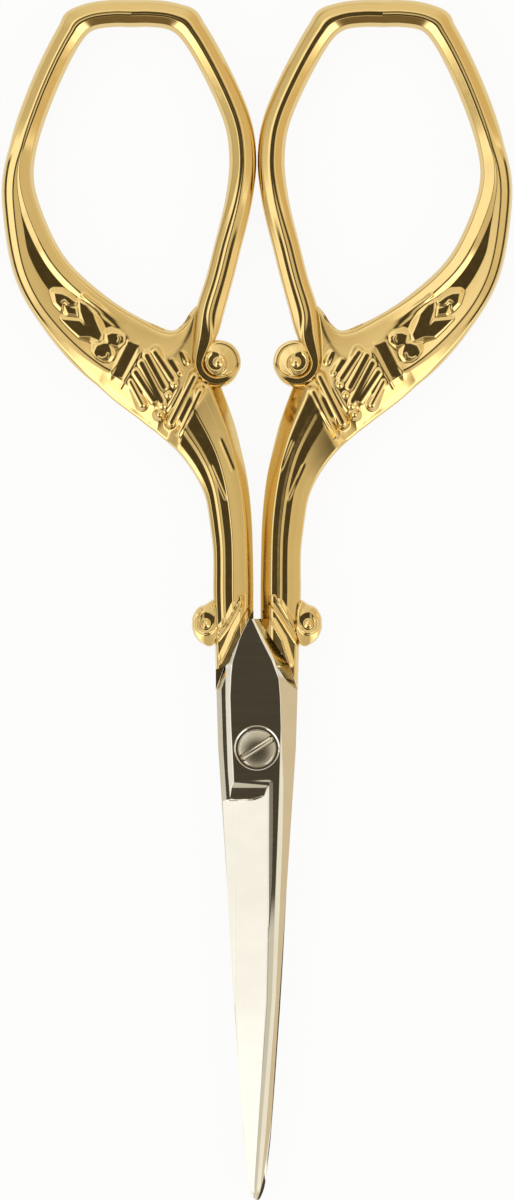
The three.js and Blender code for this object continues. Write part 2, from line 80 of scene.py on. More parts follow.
class ScissorsHandles(bpy.types.PropertyGroup):
    """Sizes and colours of the two cast handles."""

    rail_width: FloatProperty(
        name="Rail width", description="Width of the finger bow's rail", default=2.3 * MM, unit="LENGTH")
    leaf_width: FloatProperty(
        name="Leaf width", description="Widest part of the leaf under the bow",
        default=6.8 * MM, unit="LENGTH")
    hole_width: FloatProperty(
        name="Hole width", description="Finger hole across the scissors", default=16.6 * MM, unit="LENGTH")
    hole_length: FloatProperty(
        name="Hole length", description="Finger hole along the scissors", default=25.8 * MM, unit="LENGTH")
    hole_up: FloatProperty(
        name="Hole height", description="Pivot to the foot of the finger hole",
        default=35.5 * MM, unit="LENGTH")
    bow_gap: FloatProperty(
        name="Bow gap", description="Gap between the two closed bows", default=0.12 * MM, unit="LENGTH")
    panel_depth: FloatProperty(
        name="Panel depth", description="Fall of the leaf's panel for each millimetre across",
        default=0.25 * MM, unit="LENGTH")
    relief: FloatProperty(
        name="Relief", description="Rise of the raised lines and ridges", default=0.11 * MM, unit="LENGTH")
    gold: FloatVectorProperty(
        name="Gold", description="Colour of the plating", default=(0.74, 0.555, 0.242),
        subtype="COLOR", min=0, max=1)
    # Painted shade: the colour that the recesses are blended toward, the deeper ones more.
    shade: FloatVectorProperty(
        name="Shaded gold", description="Colour of the plating in the recesses", default=(0.6, 0.42, 0.15),
        subtype="COLOR", min=0, max=1)


class ScissorsBlades(bpy.types.PropertyGroup):
    """Sizes and colour of the two blades."""

    length: FloatProperty(
        name="Length", description="Pivot to tip", default=38.4 * MM, unit="LENGTH")
    thickness: FloatProperty(
        name="Thickness", description="One blade at the pivot", default=1.7 * MM, unit="LENGTH")
    tip_thickness: FloatProperty(
        name="Tip thickness", description="One blade at its tip", default=0.65 * MM, unit="LENGTH")
    gap: FloatProperty(
        name="Gap", description="Between the inner faces of the two blades", default=0.1 * MM, unit="LENGTH")
    plunge: FloatProperty(
        name="Plunge", description="Pivot to where the ground face starts", default=3.1 * MM, unit="LENGTH")
    steel: FloatVectorProperty(
        name="Steel", description="Colour of the polished steel", default=(0.78, 0.76, 0.7),
        subtype="COLOR", min=0, max=1)


class ScissorsScrew(bpy.types.PropertyGroup):
    """Sizes and colour of the pivot screw."""

    head: FloatProperty(
        name="Head", description="Diameter of the slotted head", default=3.22 * MM, unit="LENGTH")
    clearance: FloatProperty(
        name="Clearance", description="Ring round the head", default=0.25 * MM, unit="LENGTH")
    slot: FloatProperty(
        name="Slot", description="Width of the driver slot", default=0.6 * MM, unit="LENGTH")
    slot_angle: FloatProperty(
        name="Slot angle", description="Slot's turn from across the scissors", default=math.radians(33),
        subtype="ANGLE")
    steel: FloatVectorProperty(
        name="Steel", description="Colour of the turned steel", default=(0.66, 0.62, 0.53),
        subtype="COLOR", min=0, max=1)


class ScissorsStage(bpy.types.PropertyGroup):
    """Floor and light round the scissors."""

    floor: FloatVectorProperty(
        name="Floor", description="Colour of the floor", default=(0.93, 0.93, 0.93),
        subtype="COLOR", min=0, max=1)
    white: FloatProperty(
        name="White", description="Share of full white in the paper as the camera sees it", default=0.92,
        subtype="FACTOR", min=0, max=1)
    light: FloatProperty(
        name="Light", description="Brightness of the white tent", default=1.0)
    opening: FloatProperty(
        name="Opening", description="Half angle of the dark opening overhead", default=math.radians(20),
        subtype="ANGLE")


def size(group, name):
    """A size of a property group in millimetres."""
    return getattr(group, name) / MM


# Curves and profiles


def smooth(value, low, high):
    """0 below low, 1 above high, and the cubic 3s^2 - 2s^3 between."""
    share = np.clip((value - low) / (high - low), 0, 1)
    return share * share * (3 - 2 * share)


def mix(a, b, share):
    """Straight blend from a to b."""
    return a + (b - a) * share


def wave(distance, radius):
    """Rounded ridge of unit height: half of 1 + the cosine, down to 0 at the radius."""
    return 0.5 + 0.5 * np.cos(np.pi * np.clip(np.abs(distance) / radius, 0, 1))


def soft_least(a, b):
    """The smaller of two heights, with the corner between them rounded over about a tenth of a
    millimetre: minus the log of the sum of exponentials."""
    sharp = 30
    return -np.log(np.exp(-sharp * a) + np.exp(-sharp * b)) / sharp


def spline(points, place):
    """Centripetal Catmull-Rom curve, with place counted in points from the first one: every span is the
    cubic whose end slopes come from its neighbours, spaced by the square roots of their distances."""
    padded = np.vstack([2 * points[:1] - points[1:2], points, 2 * points[-1:] - points[-2:-1]])
    span = np.clip(np.floor(place).astype(int), 0, len(points) - 2)
    share = (place - span)[:, None]
    p0, p1, p2, p3 = (padded[span + k] for k in range(4))
    steps = (p1 - p0, p2 - p1, p3 - p2)
    g0, g1, g2 = (np.sqrt(np.linalg.norm(step, axis=1, keepdims=True)) for step in steps)
    slope1 = ((p1 - p0) / g0 - (p2 - p0) / (g0 + g1) + (p2 - p1) / g1) * g1
    slope2 = ((p2 - p1) / g1 - (p3 - p1) / (g1 + g2) + (p3 - p2) / g2) * g1
    square = 3 * (p2 - p1) - 2 * slope1 - slope2
    cube = 2 * (p1 - p2) + slope1 + slope2
    return p1 + share * (slope1 + share * (square + share * cube))


def spaced(points, spacing):
    """Row places along a polyline: one row for each length of spacing, which may vary along it."""
    steps = np.linalg.norm(np.diff(points, axis=0), axis=1)
    count = np.concatenate([[0], np.cumsum(steps / (0.5 * (spacing[1:] + spacing[:-1])))])
    return np.interp(np.linspace(0, count[-1], int(count[-1]) + 1), count, np.arange(len(points)))


def pick(values, place):
    """Rows of an array at fractional places, by straight interpolation."""
    low = np.clip(np.floor(place).astype(int), 0, len(values) - 2)
    share = (place - low)[:, None]
    return values[low] * (1 - share) + values[low + 1] * share


def crossed(first, last, share):
    """Plan points straight across from one edge to the other, row by row."""
    return first[:, None] * (1 - share[None, :, None]) + last[:, None] * share[None, :, None]


def profile(knots_d, knots_z, distance):
    """Height over a row of straight facets: the first knot's height plus each facet's slope times the
    part of it that lies before the distance."""
    least_run = 1e-6
    height = np.repeat(knots_z[:, :1], distance.shape[1], axis=1)
    for k in range(knots_d.shape[1] - 1):
        run = np.maximum(knots_d[:, k + 1] - knots_d[:, k], least_run)[:, None]
        slope = (knots_z[:, k + 1] - knots_z[:, k])[:, None] / run
        height = height + slope * np.clip(distance - knots_d[:, k][:, None], 0, run)
    return height


def soften(height):
    """Rounds the facets' corners: the average 1-2-1 over neighbours across, then along."""
    height[:, 1:-1] = 0.25 * (height[:, :-2] + 2 * height[:, 1:-1] + height[:, 2:])
    height[1:-1] = 0.25 * (height[:-2] + 2 * height[1:-1] + height[2:])
    return height


def to_segment(out, up, start, end):
    """Distance of plan points from a straight segment."""
    along = np.subtract(end, start)
    share = ((out - start[0]) * along[0] + (up - start[1]) * along[1]) / (along @ along)
    share = np.clip(share, 0, 1)
    return np.hypot(out - start[0] - share * along[0], up - start[1] - share * along[1])


def signed_distance(out, up, line):
    """Distance from a broken line, positive on the left of the way from its first point to its last."""
    best = np.full_like(out, np.inf)
    for start, end in zip(line[:-1], line[1:]):
        distance = to_segment(out, up, start, end)
        side = (end[0] - start[0]) * (up - start[1]) - (end[1] - start[1]) * (out - start[0])
        best = np.where(distance < np.abs(best), np.where(side > 0, distance, -distance), best)
    return best


def ridge(out, up, line, right, left):
    """Ridge of unit height along a broken line, 1 - distance / width, with sides whose widths differ: the
    one on the right and the one on the left of the way from its first point to its last."""
    distance = signed_distance(out, up, line)
    return np.clip(1 - np.abs(distance) / np.where(distance > 0, left, right), 0, 1)


def outside(out, up, polygon):
    """Distance of plan points from a polygon, and 0 inside it: the shortest distance to its sides, where
    the count of sides crossed by a ray is even."""
    best = np.full_like(out, np.inf)
    inside = np.zeros(out.shape, bool)
    level = 1e-9
    for start, end in zip(polygon, polygon[1:] + polygon[:1]):
        best = np.minimum(best, to_segment(out, up, start, end))
        spans = (start[1] > up) != (end[1] > up)
        rise = end[1] - start[1] if end[1] != start[1] else level
        inside ^= spans & (out < start[0] + (up - start[1]) * (end[0] - start[0]) / rise)
    return np.where(inside, 0, best)


# Meshes


def grid_faces(rows, columns, close_rows=False, close_columns=False):
    """Quads between neighbouring points of a grid whose points are numbered row by row."""
    r = np.arange(rows if close_rows else rows - 1)[:, None]
    c = np.arange(columns if close_columns else columns - 1)[None, :]
    r2, c2 = (r + 1) % rows, (c + 1) % columns
    corners = (r * columns + c, r * columns + c2, r2 * columns + c2, r2 * columns + c)
    return np.stack(np.broadcast_arrays(*corners), axis=-1).reshape(-1, 4)


def to_frame(points, turned):
    """Points of the front half in millimetres about the pivot (x right, y up, z toward the viewer), to
    metres in the frame. The rear half is the front one turned: x and z change sign."""
    flip = (-1, 1, -1) if turned else (1, 1, 1)
    return (points.reshape(-1, 3) * flip + PIVOT) * MM


def closed_mesh(name, points, faces, recess=None):
    """Mesh of a closed surface: equal points are merged, normals are turned outward, and edges sharper
    than the angle stay crisp. recess is an attribute of painted shade from 0 (proud, as without it) to 1
    (deep)."""
    merge_distance, crisp_angle = 2e-7, math.radians(50)
    mesh = bpy.data.meshes.new(name)
    mesh.from_pydata(points.tolist(), [], [face.tolist() for face in faces])
    if recess is not None:
        layer = mesh.attributes.new("recess", "FLOAT", "POINT")
        layer.data.foreach_set("value", np.asarray(recess, np.float32).ravel())
    surface = bmesh.new()
    surface.from_mesh(mesh)
    bmesh.ops.remove_doubles(surface, verts=surface.verts, dist=merge_distance)
    bmesh.ops.recalc_face_normals(surface, faces=surface.faces)
    surface.to_mesh(mesh)
    surface.free()
    mesh.shade_smooth()
    mesh.set_sharp_from_angle(angle=crisp_angle)
    return mesh


def tube_mesh(name, rings, turned, recess=None):
    """Closed mesh of rings of points, row by row, with a cap over each end."""
    rows, columns = rings.shape[:2]
    faces = list(grid_faces(rows, columns, close_columns=True))
    faces.append(np.arange(columns)[::-1])
    faces.append((rows - 1) * columns + np.arange(columns))
    return closed_mesh(name, to_frame(rings, turned), faces, recess)


def ring_rows(top, bottom):
    """Closed rings from two faces' rows: over the top from the inner side out, back underneath."""
    return np.concatenate([top, bottom[:, ::-1] * (1, 1, -1)], axis=1)


def add_piece(mesh, half, node, material):
    """Links a mesh as a piece that rides on its half and stands for its CAD node."""
    piece = bpy.data.objects.new(mesh.name, mesh)
    bpy.context.scene.collection.objects.link(piece)
    mesh.materials.append(material)
    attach(piece, HALVES[half][0])
    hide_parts(node)


# Plan of the handles, as places out from the centre line and up from the pivot

# Finger hole as fractions of its width (from the centre line) and length (from its lowest point):
# from the middle of the top bar out, down the outer rail, along the leaf, then up the inner rail.
HOLE_SHAPE = (
    (0.5, 1), (0.6, 1), (0.7, 0.988), (0.752, 0.955), (0.88, 0.795), (0.985, 0.6), (1, 0.5),
    (0.962, 0.4), (0.847, 0.248), (0.703, 0.151), (0.486, 0.052), (0.28, 0), (0.165, 0.095),
    (0.07, 0.3), (0.016, 0.45), (0, 0.57), (0.03, 0.69), (0.24, 0.955), (0.305, 0.99), (0.4, 1),
)
# Places in that shape, counted in points: the leaf's end, the inner rail's start and the upper corners.
LEAF_END = 10
RAIL_START = 12.4
BOW_CORNERS = (2.5, 17.5)
# Edges of the limb below the leaf: the side toward the finger hole and the centre line, then the outer side.
SHANK_INNER = (
    (8.7, 36.0), (7.1, 35.5), (6.25, 36.15), (5.72, 36.95), (5.0, 37.6),
    (3.9, 33.4), (3.1, 30.9), (2.4, 29.0), (1.83, 27.3), (1.3, 25.2),
    (0.88, 23.3), (0.6, 21.3), (0.42, 19.0), (0.34, 16.5), (0.3, 13.9),
)
SHANK_OUTER = (
    (12.2, 29.6), (10.9, 28.6), (10.15, 28.05), (9.4, 27.45), (8.6, 26.85),
    (7.6, 26.0), (6.6, 25.0), (5.6, 23.7), (4.85, 22.4), (4.38, 21.2),
    (4.12, 19.8), (3.92, 18.3), (3.76, 16.8), (3.73, 15.0), (3.75, 13.9),
)
FOOT_EDGES = (0.3, 3.5)
# Seams at the foot, as places out and heights: with its own blade, and with the other blade's shoulder.
V_SEAM = ((0, 0.3, 0.65, 1.3, 2.03, 2.38, 2.8, 3.5), (12.3, 11.75, 11.17, 9.85, 8.22, 7.3, 6.95, 6.7))
SHOULDER_SEAM = ((0, 0.37, 2.79, 3.33, 3.5), (11.25, 10.64, 7.0, 5.44, 4.95))
# Courses along the limb, counted in points of the hole and then of the shank, and the rows' spacing there.
ROW_SPACING = ((0, 4.5, 5.5, 9.5, 15, 17, 25), (0.3, 0.3, 0.1, 0.065, 0.065, 0.12, 0.12))


def hole_edge(handles, place):
    """Edge of the finger hole and its outward direction, at places counted in points of its shape."""
    inside = size(handles, "bow_gap") / 2 + size(handles, "rail_width")
    reach = (size(handles, "hole_width"), size(handles, "hole_length"))
    shape = np.array(HOLE_SHAPE) * reach + (inside, size(handles, "hole_up"))
    wrap, step = 3, 1e-3
    ring = np.vstack([shape[-wrap:], shape, shape[:wrap + 1]])
    along = spline(ring, place + wrap + step) - spline(ring, place + wrap - step)
    along /= np.linalg.norm(along, axis=1, keepdims=True)
    return spline(ring, place + wrap), np.stack([-along[:, 1], along[:, 0]], axis=1)


def bow_edges(handles, place):
    """Both edges of the bar round the hole: the hole's, and that one moved outward by the bar's width,
    which is the rail's, swells down the outer side into the leaf, and is wider at the upper corners."""
    edge, outward = hole_edge(handles, place)
    start, full, power = 0.6, 0.05, 1.4
    part = (edge[:, 1] - size(handles, "hole_up")) / size(handles, "hole_length")
    swell = np.clip((start - part) / (start - full), 0, 1) ** power * (place <= LEAF_END + 1)
    reach, gain = 0.45, 0.13
    corners = sum(np.exp(-((place - corner) / reach) ** 2) for corner in BOW_CORNERS)
    width = mix(size(handles, "rail_width"), size(handles, "leaf_width"), swell) * (1 + gain * corners)
    return edge, edge + outward * width[:, None]


def limb_rows(handles):
    """Inner edge, outer edge and course of the limb's rows, from the middle of the top bar to the shank's
    foot: the bow's edges, then curves through the shank's edge points. Rows lie closer together where the
    ornament is fine."""
    bow_samples, shank_samples, lead = 1200, 1500, 0.6
    place = np.linspace(0, LEAF_END, bow_samples)
    on = np.linspace(1, len(SHANK_INNER) + 1, shank_samples)[1:]
    bow = bow_edges(handles, place)
    leads = bow_edges(handles, np.array([LEAF_END - lead, LEAF_END]))
    shank = [spline(np.vstack(points), on) for points in zip(leads, (SHANK_INNER, SHANK_OUTER))]
    inner, outer = (np.vstack(parts) for parts in zip(bow, shank))
    course = np.concatenate([place, LEAF_END - 1 + on])
    rows = spaced(0.5 * (inner + outer), np.interp(course, *ROW_SPACING))
    return pick(inner, rows), pick(outer, rows), np.interp(rows, np.arange(len(course)), course)


def limb_plan(handles, share, seam):
    """Plan points of one face of the limb, row by row: straight across between the two edges, then a
    foot whose rows turn from square into the line of the seam. Returns out, up, distance from the outer
    edge, width and course."""
    inner, outer, course = limb_rows(handles)
    plan = crossed(inner, outer, share)
    foot_rows = 130
    rows = np.linspace(0, 1, foot_rows)[1:]
    foot_out = mix(*FOOT_EDGES, share)
    out = mix(plan[-1:, :, 0], foot_out[None, :], smooth(rows, 0, 1)[:, None])
    up = mix(plan[-1:, :, 1], np.interp(foot_out, *seam)[None, :], rows[:, None])
    plan = np.vstack([plan, np.stack([out, up], axis=-1)])
    course = np.concatenate([course, course[-1] + rows])
    along = np.gradient(plan.mean(axis=1), axis=0)
    along /= np.linalg.norm(along, axis=1, keepdims=True)
    across = plan[:, -1] - plan[:, 0]
    width = np.abs(across[:, 0] * along[:, 1] - across[:, 1] * along[:, 0])
    width[-len(rows):] = across[-len(rows):, 0]
    return plan[..., 0], plan[..., 1], (1 - share)[None, :] * width[:, None], width, course


# Sections of the handles, from the outer edge in, as distance and height above the middle plane

TOP_RAIL = ((0, 0.45), (0.1, 0.8), (0.35, 1.1), (0.92, 1.42), (1.04, 1.46), (1.13, 1.465), (1.2, 1.44),
            (1.27, 1.465), (1.42, 1.45), (2.02, 1.06), (2.3, 0.45))
RAIL = ((0, 0.45), (0.1, 0.98), (0.66, 1.27), (0.94, 1.285), (1.14, 1.36), (1.2, 1.36), (1.4, 1.285),
        (1.66, 1.27), (2.04, 1.05), (2.2, 0.9), (2.3, 0.45))
SCROLL_BAND = ((0, 0.9), (0.05, 1.0), (0.1, 1.05), (0.15, 1.1), (0.3, 1.25), (0.4, 1.29), (0.5, 1.3),
               (1.6, 1.3), (2.0, 1.12), (2.2, 0.95), (2.3, 0.6))
SHANK = ((0, 0.5), (0.08, 1.12), (0.31, 1.3), (0.66, 1.32), (0.86, 1.42), (1.06, 1.36), (1.62, 1.38),
         (1.7, 1.42), (2.82, 1.09), (3.32, 0.2), (3.4, 0.05))
SHANK_BACK = ((0, 0.5), (0.08, 0.92), (1.15, 1.3), (1.58, 1.32), (1.8, 1.4), (2.05, 1.36), (2.42, 1.38),
              (2.5, 1.36), (2.6, 1.3), (3.28, 0.25), (3.4, 0.05))
# The leaf and the slab with the reeds: the part along the outer edge, and the part along the hole, whose
# distances are from the hole's edge.
LEAF_EDGE = ((0, 0.45), (0.12, 1.0), (0.24, 1.22), (0.46, 1.24), (0.95, 1.42), (1.06, 1.41))
LEAF_RIM = ((1.2, 1.43), (0.3, 1.15), (0, 0.45))
SLAB_EDGE = ((0, 0.42), (0.1, 0.55), (0.4, 0.68), (1.7, 1.33), (1.82, 1.36), (1.92, 1.37))
SLAB_RIM = ((3.2, 1.4), (1.5, 1.4), (0.4, 1.4), (0, 0.45))
# Courses over which the leaf, the slab and the shank take over: along the outer edge, then on the face.
SECTION_SPANS = (((4.4, 5.6), (4.4, 5.6)), ((8.4, 10.9), (9.6, 10.9)), ((15.8, 16.8), (15.8, 16.8)))


def stretched(width, facets):
    """Knots of a section given for a bar of the facets' own last distance, stretched to each width."""
    facets = np.array(facets)
    knots_d = facets[None, :, 0] * (width / facets[-1, 0])[:, None]
    return knots_d, np.repeat(facets[None, :, 1], len(width), axis=0)


def framed(width, edge, middle, rim):
    """Knots of a section that keeps its outer edge and its rim at every width, with a middle between."""
    flat = np.ones_like(width)
    knots = [*edge, *middle, *((width - d, z) for d, z in rim)]
    return tuple(np.stack([knot[k] * flat for knot in knots], axis=1) for k in (0, 1))


def blended(knots, changes):
    """Knots of a section that changes into others one after the other, each by its share in every row."""
    for following, share in changes:
        knots = [mix(a, b, share) for a, b in zip(knots, following)]
    return knots


def leaf_knots(handles, width):
    """Section of the leaf: a flat and a bead along the outer edge, a slope down to the panel's floor,
    a steep wall up to the inner rim and a facet down to the hole."""
    start, bead = LEAF_EDGE[-1]
    least_room, widest_wall, wall_share, widest_slope = 0.05, 0.5, 0.45, 1.3
    floor_share, floor_opens = 0.4, (0.8, 2.0)
    rim = width - LEAF_RIM[0][0]
    room = np.maximum(rim - start, least_room)
    wall = np.minimum(widest_wall, wall_share * room)
    slope = np.minimum(room - wall - floor_share * room * smooth(room, *floor_opens), widest_slope)
    floor = bead - size(handles, "panel_depth") * slope
    return framed(width, LEAF_EDGE, ((start + slope, floor), (rim - wall, floor)), LEAF_RIM)


def slab_knots(width):
    """Section of the part that carries the reeds: a broad outer facet, a flat, and a slope to the hole."""
    share, height = 0.4, 1.38
    return framed(width, SLAB_EDGE, ((share * width, height),), SLAB_RIM)


def limb_section(handles, width, course, shank):
    """Knots of the limb's section in each row: the rail's, then the leaf's, the slab's and the shank's,
    with the knots along the outer edge on courses of their own."""
    on_edge = np.arange(len(TOP_RAIL)) < len(SLAB_EDGE)
    shares = [np.where(on_edge, smooth(course, *edge)[:, None], smooth(course, *face)[:, None])
              for edge, face in SECTION_SPANS]
    sections = (leaf_knots(handles, width), slab_knots(width), stretched(width, shank))
    return blended(stretched(width, TOP_RAIL), zip(sections, shares))


# Ornament of the handles, in plan

# Reeds and bands: start, end, half the level top's width and its height.
REEDS = (
    ((6.41, 33.6), (6.14, 33.05), 0.12, 1.22),
    ((7.25, 32.95), (6.82, 32.2), 0.14, 1.38),
    ((8.65, 33.65), (7.2, 31.45), 0.18, 1.5),
    ((9.35, 33.35), (7.92, 30.7), 0.2, 1.5),
    ((9.8, 32.7), (8.15, 29.55), 0.2, 1.5),
    ((10.3, 31.95), (8.75, 29.6), 0.18, 1.5),
    ((10.75, 31.15), (9.75, 29.25), 0.1, 1.45),
)
REED_BEADS = ((6.02, 32.85), (6.56, 31.86), (7.02, 30.9), (7.52, 30.02), (7.98, 29.14), (8.28, 28.41))
BANDS = (((5.35, 31.6), (7.3, 27.7), 0.11, 1.5), ((4.83, 30.3), (6.47, 26.74), 0.11, 1.46))
# Fall for each millimetre beside a level top, and behind a band.
SIDE_SLOPE = 0.5
BAND_BACK_SLOPE = 0.25
# The sprig in the leaf's panel: the level tops of its bud, leaves and curls, and light marks on them.
SPRIG = (
    ((17.2, 38.65), (16.6, 38.6), (16.05, 38.35), (15.4, 37.85), (16.1, 37.65), (16.45, 37.95), (16.6, 37.4),
     (17.05, 37.85)),
    ((16.35, 37.65), (16.05, 37.5), (15.4, 37.35), (15.35, 36.85), (16.05, 36.95)),
    ((15.05, 37.9), (14.5, 37.65), (13.9, 36.95), (13.7, 36.3), (13.2, 35.15), (13.4, 34.65), (14.2, 35.0),
     (14.65, 36.1), (15.0, 37.15)),
    ((16.6, 36.45), (15.05, 36.3), (14.5, 35.75), (14.2, 35.0), (15.05, 35.0), (15.75, 35.6), (16.3, 36.15)),
    ((12.75, 35.1), (12.3, 35.27), (11.75, 35.22), (11.35, 34.95), (11.35, 34.5), (11.9, 34.2), (12.6, 34.4)),
    ((13.85, 33.65), (13.6, 34.2), (13.05, 34.4), (12.6, 34.4), (12.4, 33.8), (12.35, 33.4), (12.65, 32.95),
     (13.1, 32.85), (13.6, 33.1)),
)
CURL_MARKS = (
    ((13.45, 33.2), (13.15, 33.05), (12.75, 33.2), (12.65, 33.5)),
    ((11.75, 35.0), (11.65, 34.75), (11.8, 34.5)),
    ((16.55, 37.85), (16.33, 38.0), (16.05, 37.65), (15.45, 37.6)),
)
SLOT = ((10.8, 34.45), (9.98, 34.3), (11.45, 31.45), (12.25, 31.7))
SPRIG_TOP = 1.36
SLOT_TOP = 1.33
# Raised lines: rise in reliefs, widths of the right and left side, and the line. They are the panel's end, a
# line beside the bands, one at the reeds' upper ends and one between the slot and the sprig.
RAISED_LINES = (
    (1.3, 0.25, 0.32, ((14.75, 38.45), (14.2, 38.0), (13.58, 37.64), (12.38, 36.72), (10.6, 35.8))),
    (0.7, 0.2, 0.2, ((5.75, 32.2), (7.7, 28.6))),
    (0.6, 0.16, 0.2, ((9.7, 33.9), (11.6, 30.6))),
    (0.5, 0.4, 0.2, ((10.98, 34.5), (12.45, 31.6))),
)
# Ridges of the foot in the same form: above the V, and on the other face above the shoulder.
V_RIDGES = (
    (1.3, 0.12, 0.36, ((1.9, 12.1), (2.25, 11.3), (2.72, 10.6), (3.54, 9.64), (4.1, 8.8))),
    (1.3, 0.12, 0.24, ((1.34, 12.29), (2.5, 10.2), (3.77, 8.48))),
    (1.3, 0.12, 0.42, ((0.91, 11.8), (1.86, 10.04), (2.47, 8.56), (3.08, 7.3))),
)
SHOULDER_RIDGES = (
    (1.3, 0.12, 0.36, ((1.91, 12.35), (3.0, 10.47), (3.85, 9.1))),
    (1.3, 0.12, 0.24, ((1.17, 12.29), (2.13, 10.82), (3.43, 8.74))),
    (1.3, 0.12, 0.42, ((1.26, 10.73), (2.13, 9.26), (2.74, 7.26))),
)
# Cut lines on the shank, the top of the shank, and the line where the inner rail begins.
NOTCHES = (((3.06, 26.1), (2.07, 23.7)), ((3.9, 24.0), (2.7, 21.2)))
SHANK_TOP = ((5.7, 29.2), (4.85, 30.65), (2.2, 30.55))
RAIL_LINE = ((5.0, 38.6), (5.3, 36.6), (5.45, 34.6), (5.45, 32.9), (4.9, 31.6), (3.6, 30.7))
# Height of the facet under the hole, by the distance from the hole's edge.
WEB_FACET = ((0, 0.25, 2.9, 4.5), (0.45, 0.9, 1.5, 1.9))
# Courses of the web with the reeds, and of the panel.
WEB_COURSE = (8.8, 16.5)
PANEL_COURSE = (7.5, 12)
# Share of the painted shade's colour in the deepest recesses.
DEEPEST = 0.6


def side_fall(distance, slope):
    """Fall beside a level top: even at first, then steep past the first quarter millimetre."""
    reach, steep = 0.25, 2
    return slope * np.clip(distance, 0, reach) + steep * np.clip(distance - reach, 0, None)


def sprig(handles, out, up, height):
    """The panel with the bud, leaves and curls standing on it: level tops whose sides fall evenly with the
    distance from their outline, light marks on them, and the sunk slot next to the reeds."""
    for polygon in SPRIG:
        height = np.maximum(height, SPRIG_TOP - SIDE_SLOPE * outside(out, up, polygon))
    rise, reach = 0.5 * size(handles, "relief"), 0.14
    for line in CURL_MARKS:
        height = height + rise * ridge(out, up, line, reach, reach)
    beside = outside(out, up, SLOT)
    return np.clip(height, SLOT_TOP - side_fall(beside, SIDE_SLOPE), SLOT_TOP + SIDE_SLOPE * beside)


def bars(out, up, height):
    """The surface with the reeds and bands standing on it: level tops whose sides fall evenly with the
    distance from their edges, less steeply behind the bands, and a bead at the lower end of each reed."""
    for lines, behind in ((REEDS, SIDE_SLOPE), (BANDS, BAND_BACK_SLOPE)):
        for start, end, half, top in lines:
            distance = signed_distance(out, up, (start, end))
            slope = np.where(distance > 0, SIDE_SLOPE, behind)
            height = np.maximum(height, top - side_fall(np.abs(distance) - half, slope))
    bead_rise, bead_fall = 0.04, 1.6
    for (_, _, _, top), bead in zip(REEDS, REED_BEADS):
        away = np.hypot(out - bead[0], up - bead[1])
        height = np.maximum(height, top + bead_rise - bead_fall * away ** 2)
    return height


def ornament(handles, out, up, ridges):
    """Relief of one face in plan: the highest of the straight-sided ridges along the raised lines and
    along the foot's ridges, less the cut lines of the shank."""
    relief = np.zeros_like(out)
    for rise, right, left, line in RAISED_LINES + ridges:
        relief = np.maximum(relief, rise * size(handles, "relief") * ridge(out, up, line, right, left))
    depth, reach = 0.05, 0.2
    for line in NOTCHES:
        relief = relief - depth * ridge(out, up, line, reach, reach)
    return relief


def web(handles, out, up):
    """Highest that the limb may stand next to the hole and the inner rail: a facet that climbs with the
    distance from the hole's edge, and a fall toward and past the line where the rail begins."""
    first, last, samples, farthest = 8.5, 12.5, 200, 9.0
    edge, _ = hole_edge(handles, np.linspace(first, last, samples))
    distance = np.full_like(out, farthest)
    for point in edge:
        distance = np.minimum(distance, np.hypot(out - point[0], up - point[1]))
    beside = signed_distance(out, up, RAIL_LINE)
    seat, climb, drop, depth = 0.95, 0.24, 1.2, 0.6
    fall = seat + np.where(beside > 0, climb * beside, np.maximum(drop * beside, -depth))
    return soft_least(np.interp(distance, *WEB_FACET), fall)


def foot_face(out, up, inside, base, first_ridge):
    """The base with the foot's face on it, which leans outward below the first ridge and fades in from that
    ridge, from the limb's edges and from the centre line."""
    top, height, outer, lean = 13, 1.24, 3.3, 0.14
    ridge_fade, edge_fade, line_fade = (0, 0.2), (0.05, 0.35), (1.0, 1.5)
    share = smooth(-signed_distance(out, up, first_ridge), *ridge_fade) * smooth(inside, *edge_fade)
    share = share * (up < top) * smooth(out, *line_fade)
    return mix(base, height + lean * (outer - out), share)


def limb_face(handles, share, seam, ridges, shank):
    """One face of the limb: its section with the foot's face and the relief on it, kept under the web
    beside the hole, then the bars and the sprig, softened. Returns the points, how deep each lies, and the
    rows' courses."""
    relief_fade, shade_fade = (0.1, 0.5), (0.5, 0.9)
    web_fade, shank_fade = (8.8, 10.0), (-0.05, 0.1)
    out, up, distance, width, course = limb_plan(handles, share, seam)
    base = profile(*limb_section(handles, width, course, shank), distance)
    inside = np.minimum(distance, width[:, None] - distance)
    base = foot_face(out, up, inside, base, ridges[0][-1])
    height = base + smooth(inside, *relief_fade) * ornament(handles, out, up, ridges)
    near = (course > WEB_COURSE[0]) & (course < WEB_COURSE[1])
    low = soft_least(height[near], web(handles, out[near], up[near]))
    above = smooth(-signed_distance(out[near], up[near], SHANK_TOP), *shank_fade)
    height[near] = mix(height[near], low, smooth(course[near], *web_fade)[:, None] * above)
    height[near] = bars(out[near], up[near], height[near])
    panel = (course > PANEL_COURSE[0]) & (course < PANEL_COURSE[1])
    height[panel] = sprig(handles, out[panel], up[panel], height[panel])
    height = soften(height)
    # Painted shade: the recess attribute rises with the depth below the proud surface and darkens the plating
    # there toward the shaded gold.
    proud, depth = 1.3, 0.3
    recess = DEEPEST * np.clip((proud - height) / depth, 0, 1) * smooth(inside, *shade_fade)
    return np.stack([-out, up, height], axis=-1), recess, course


# Bow and shank


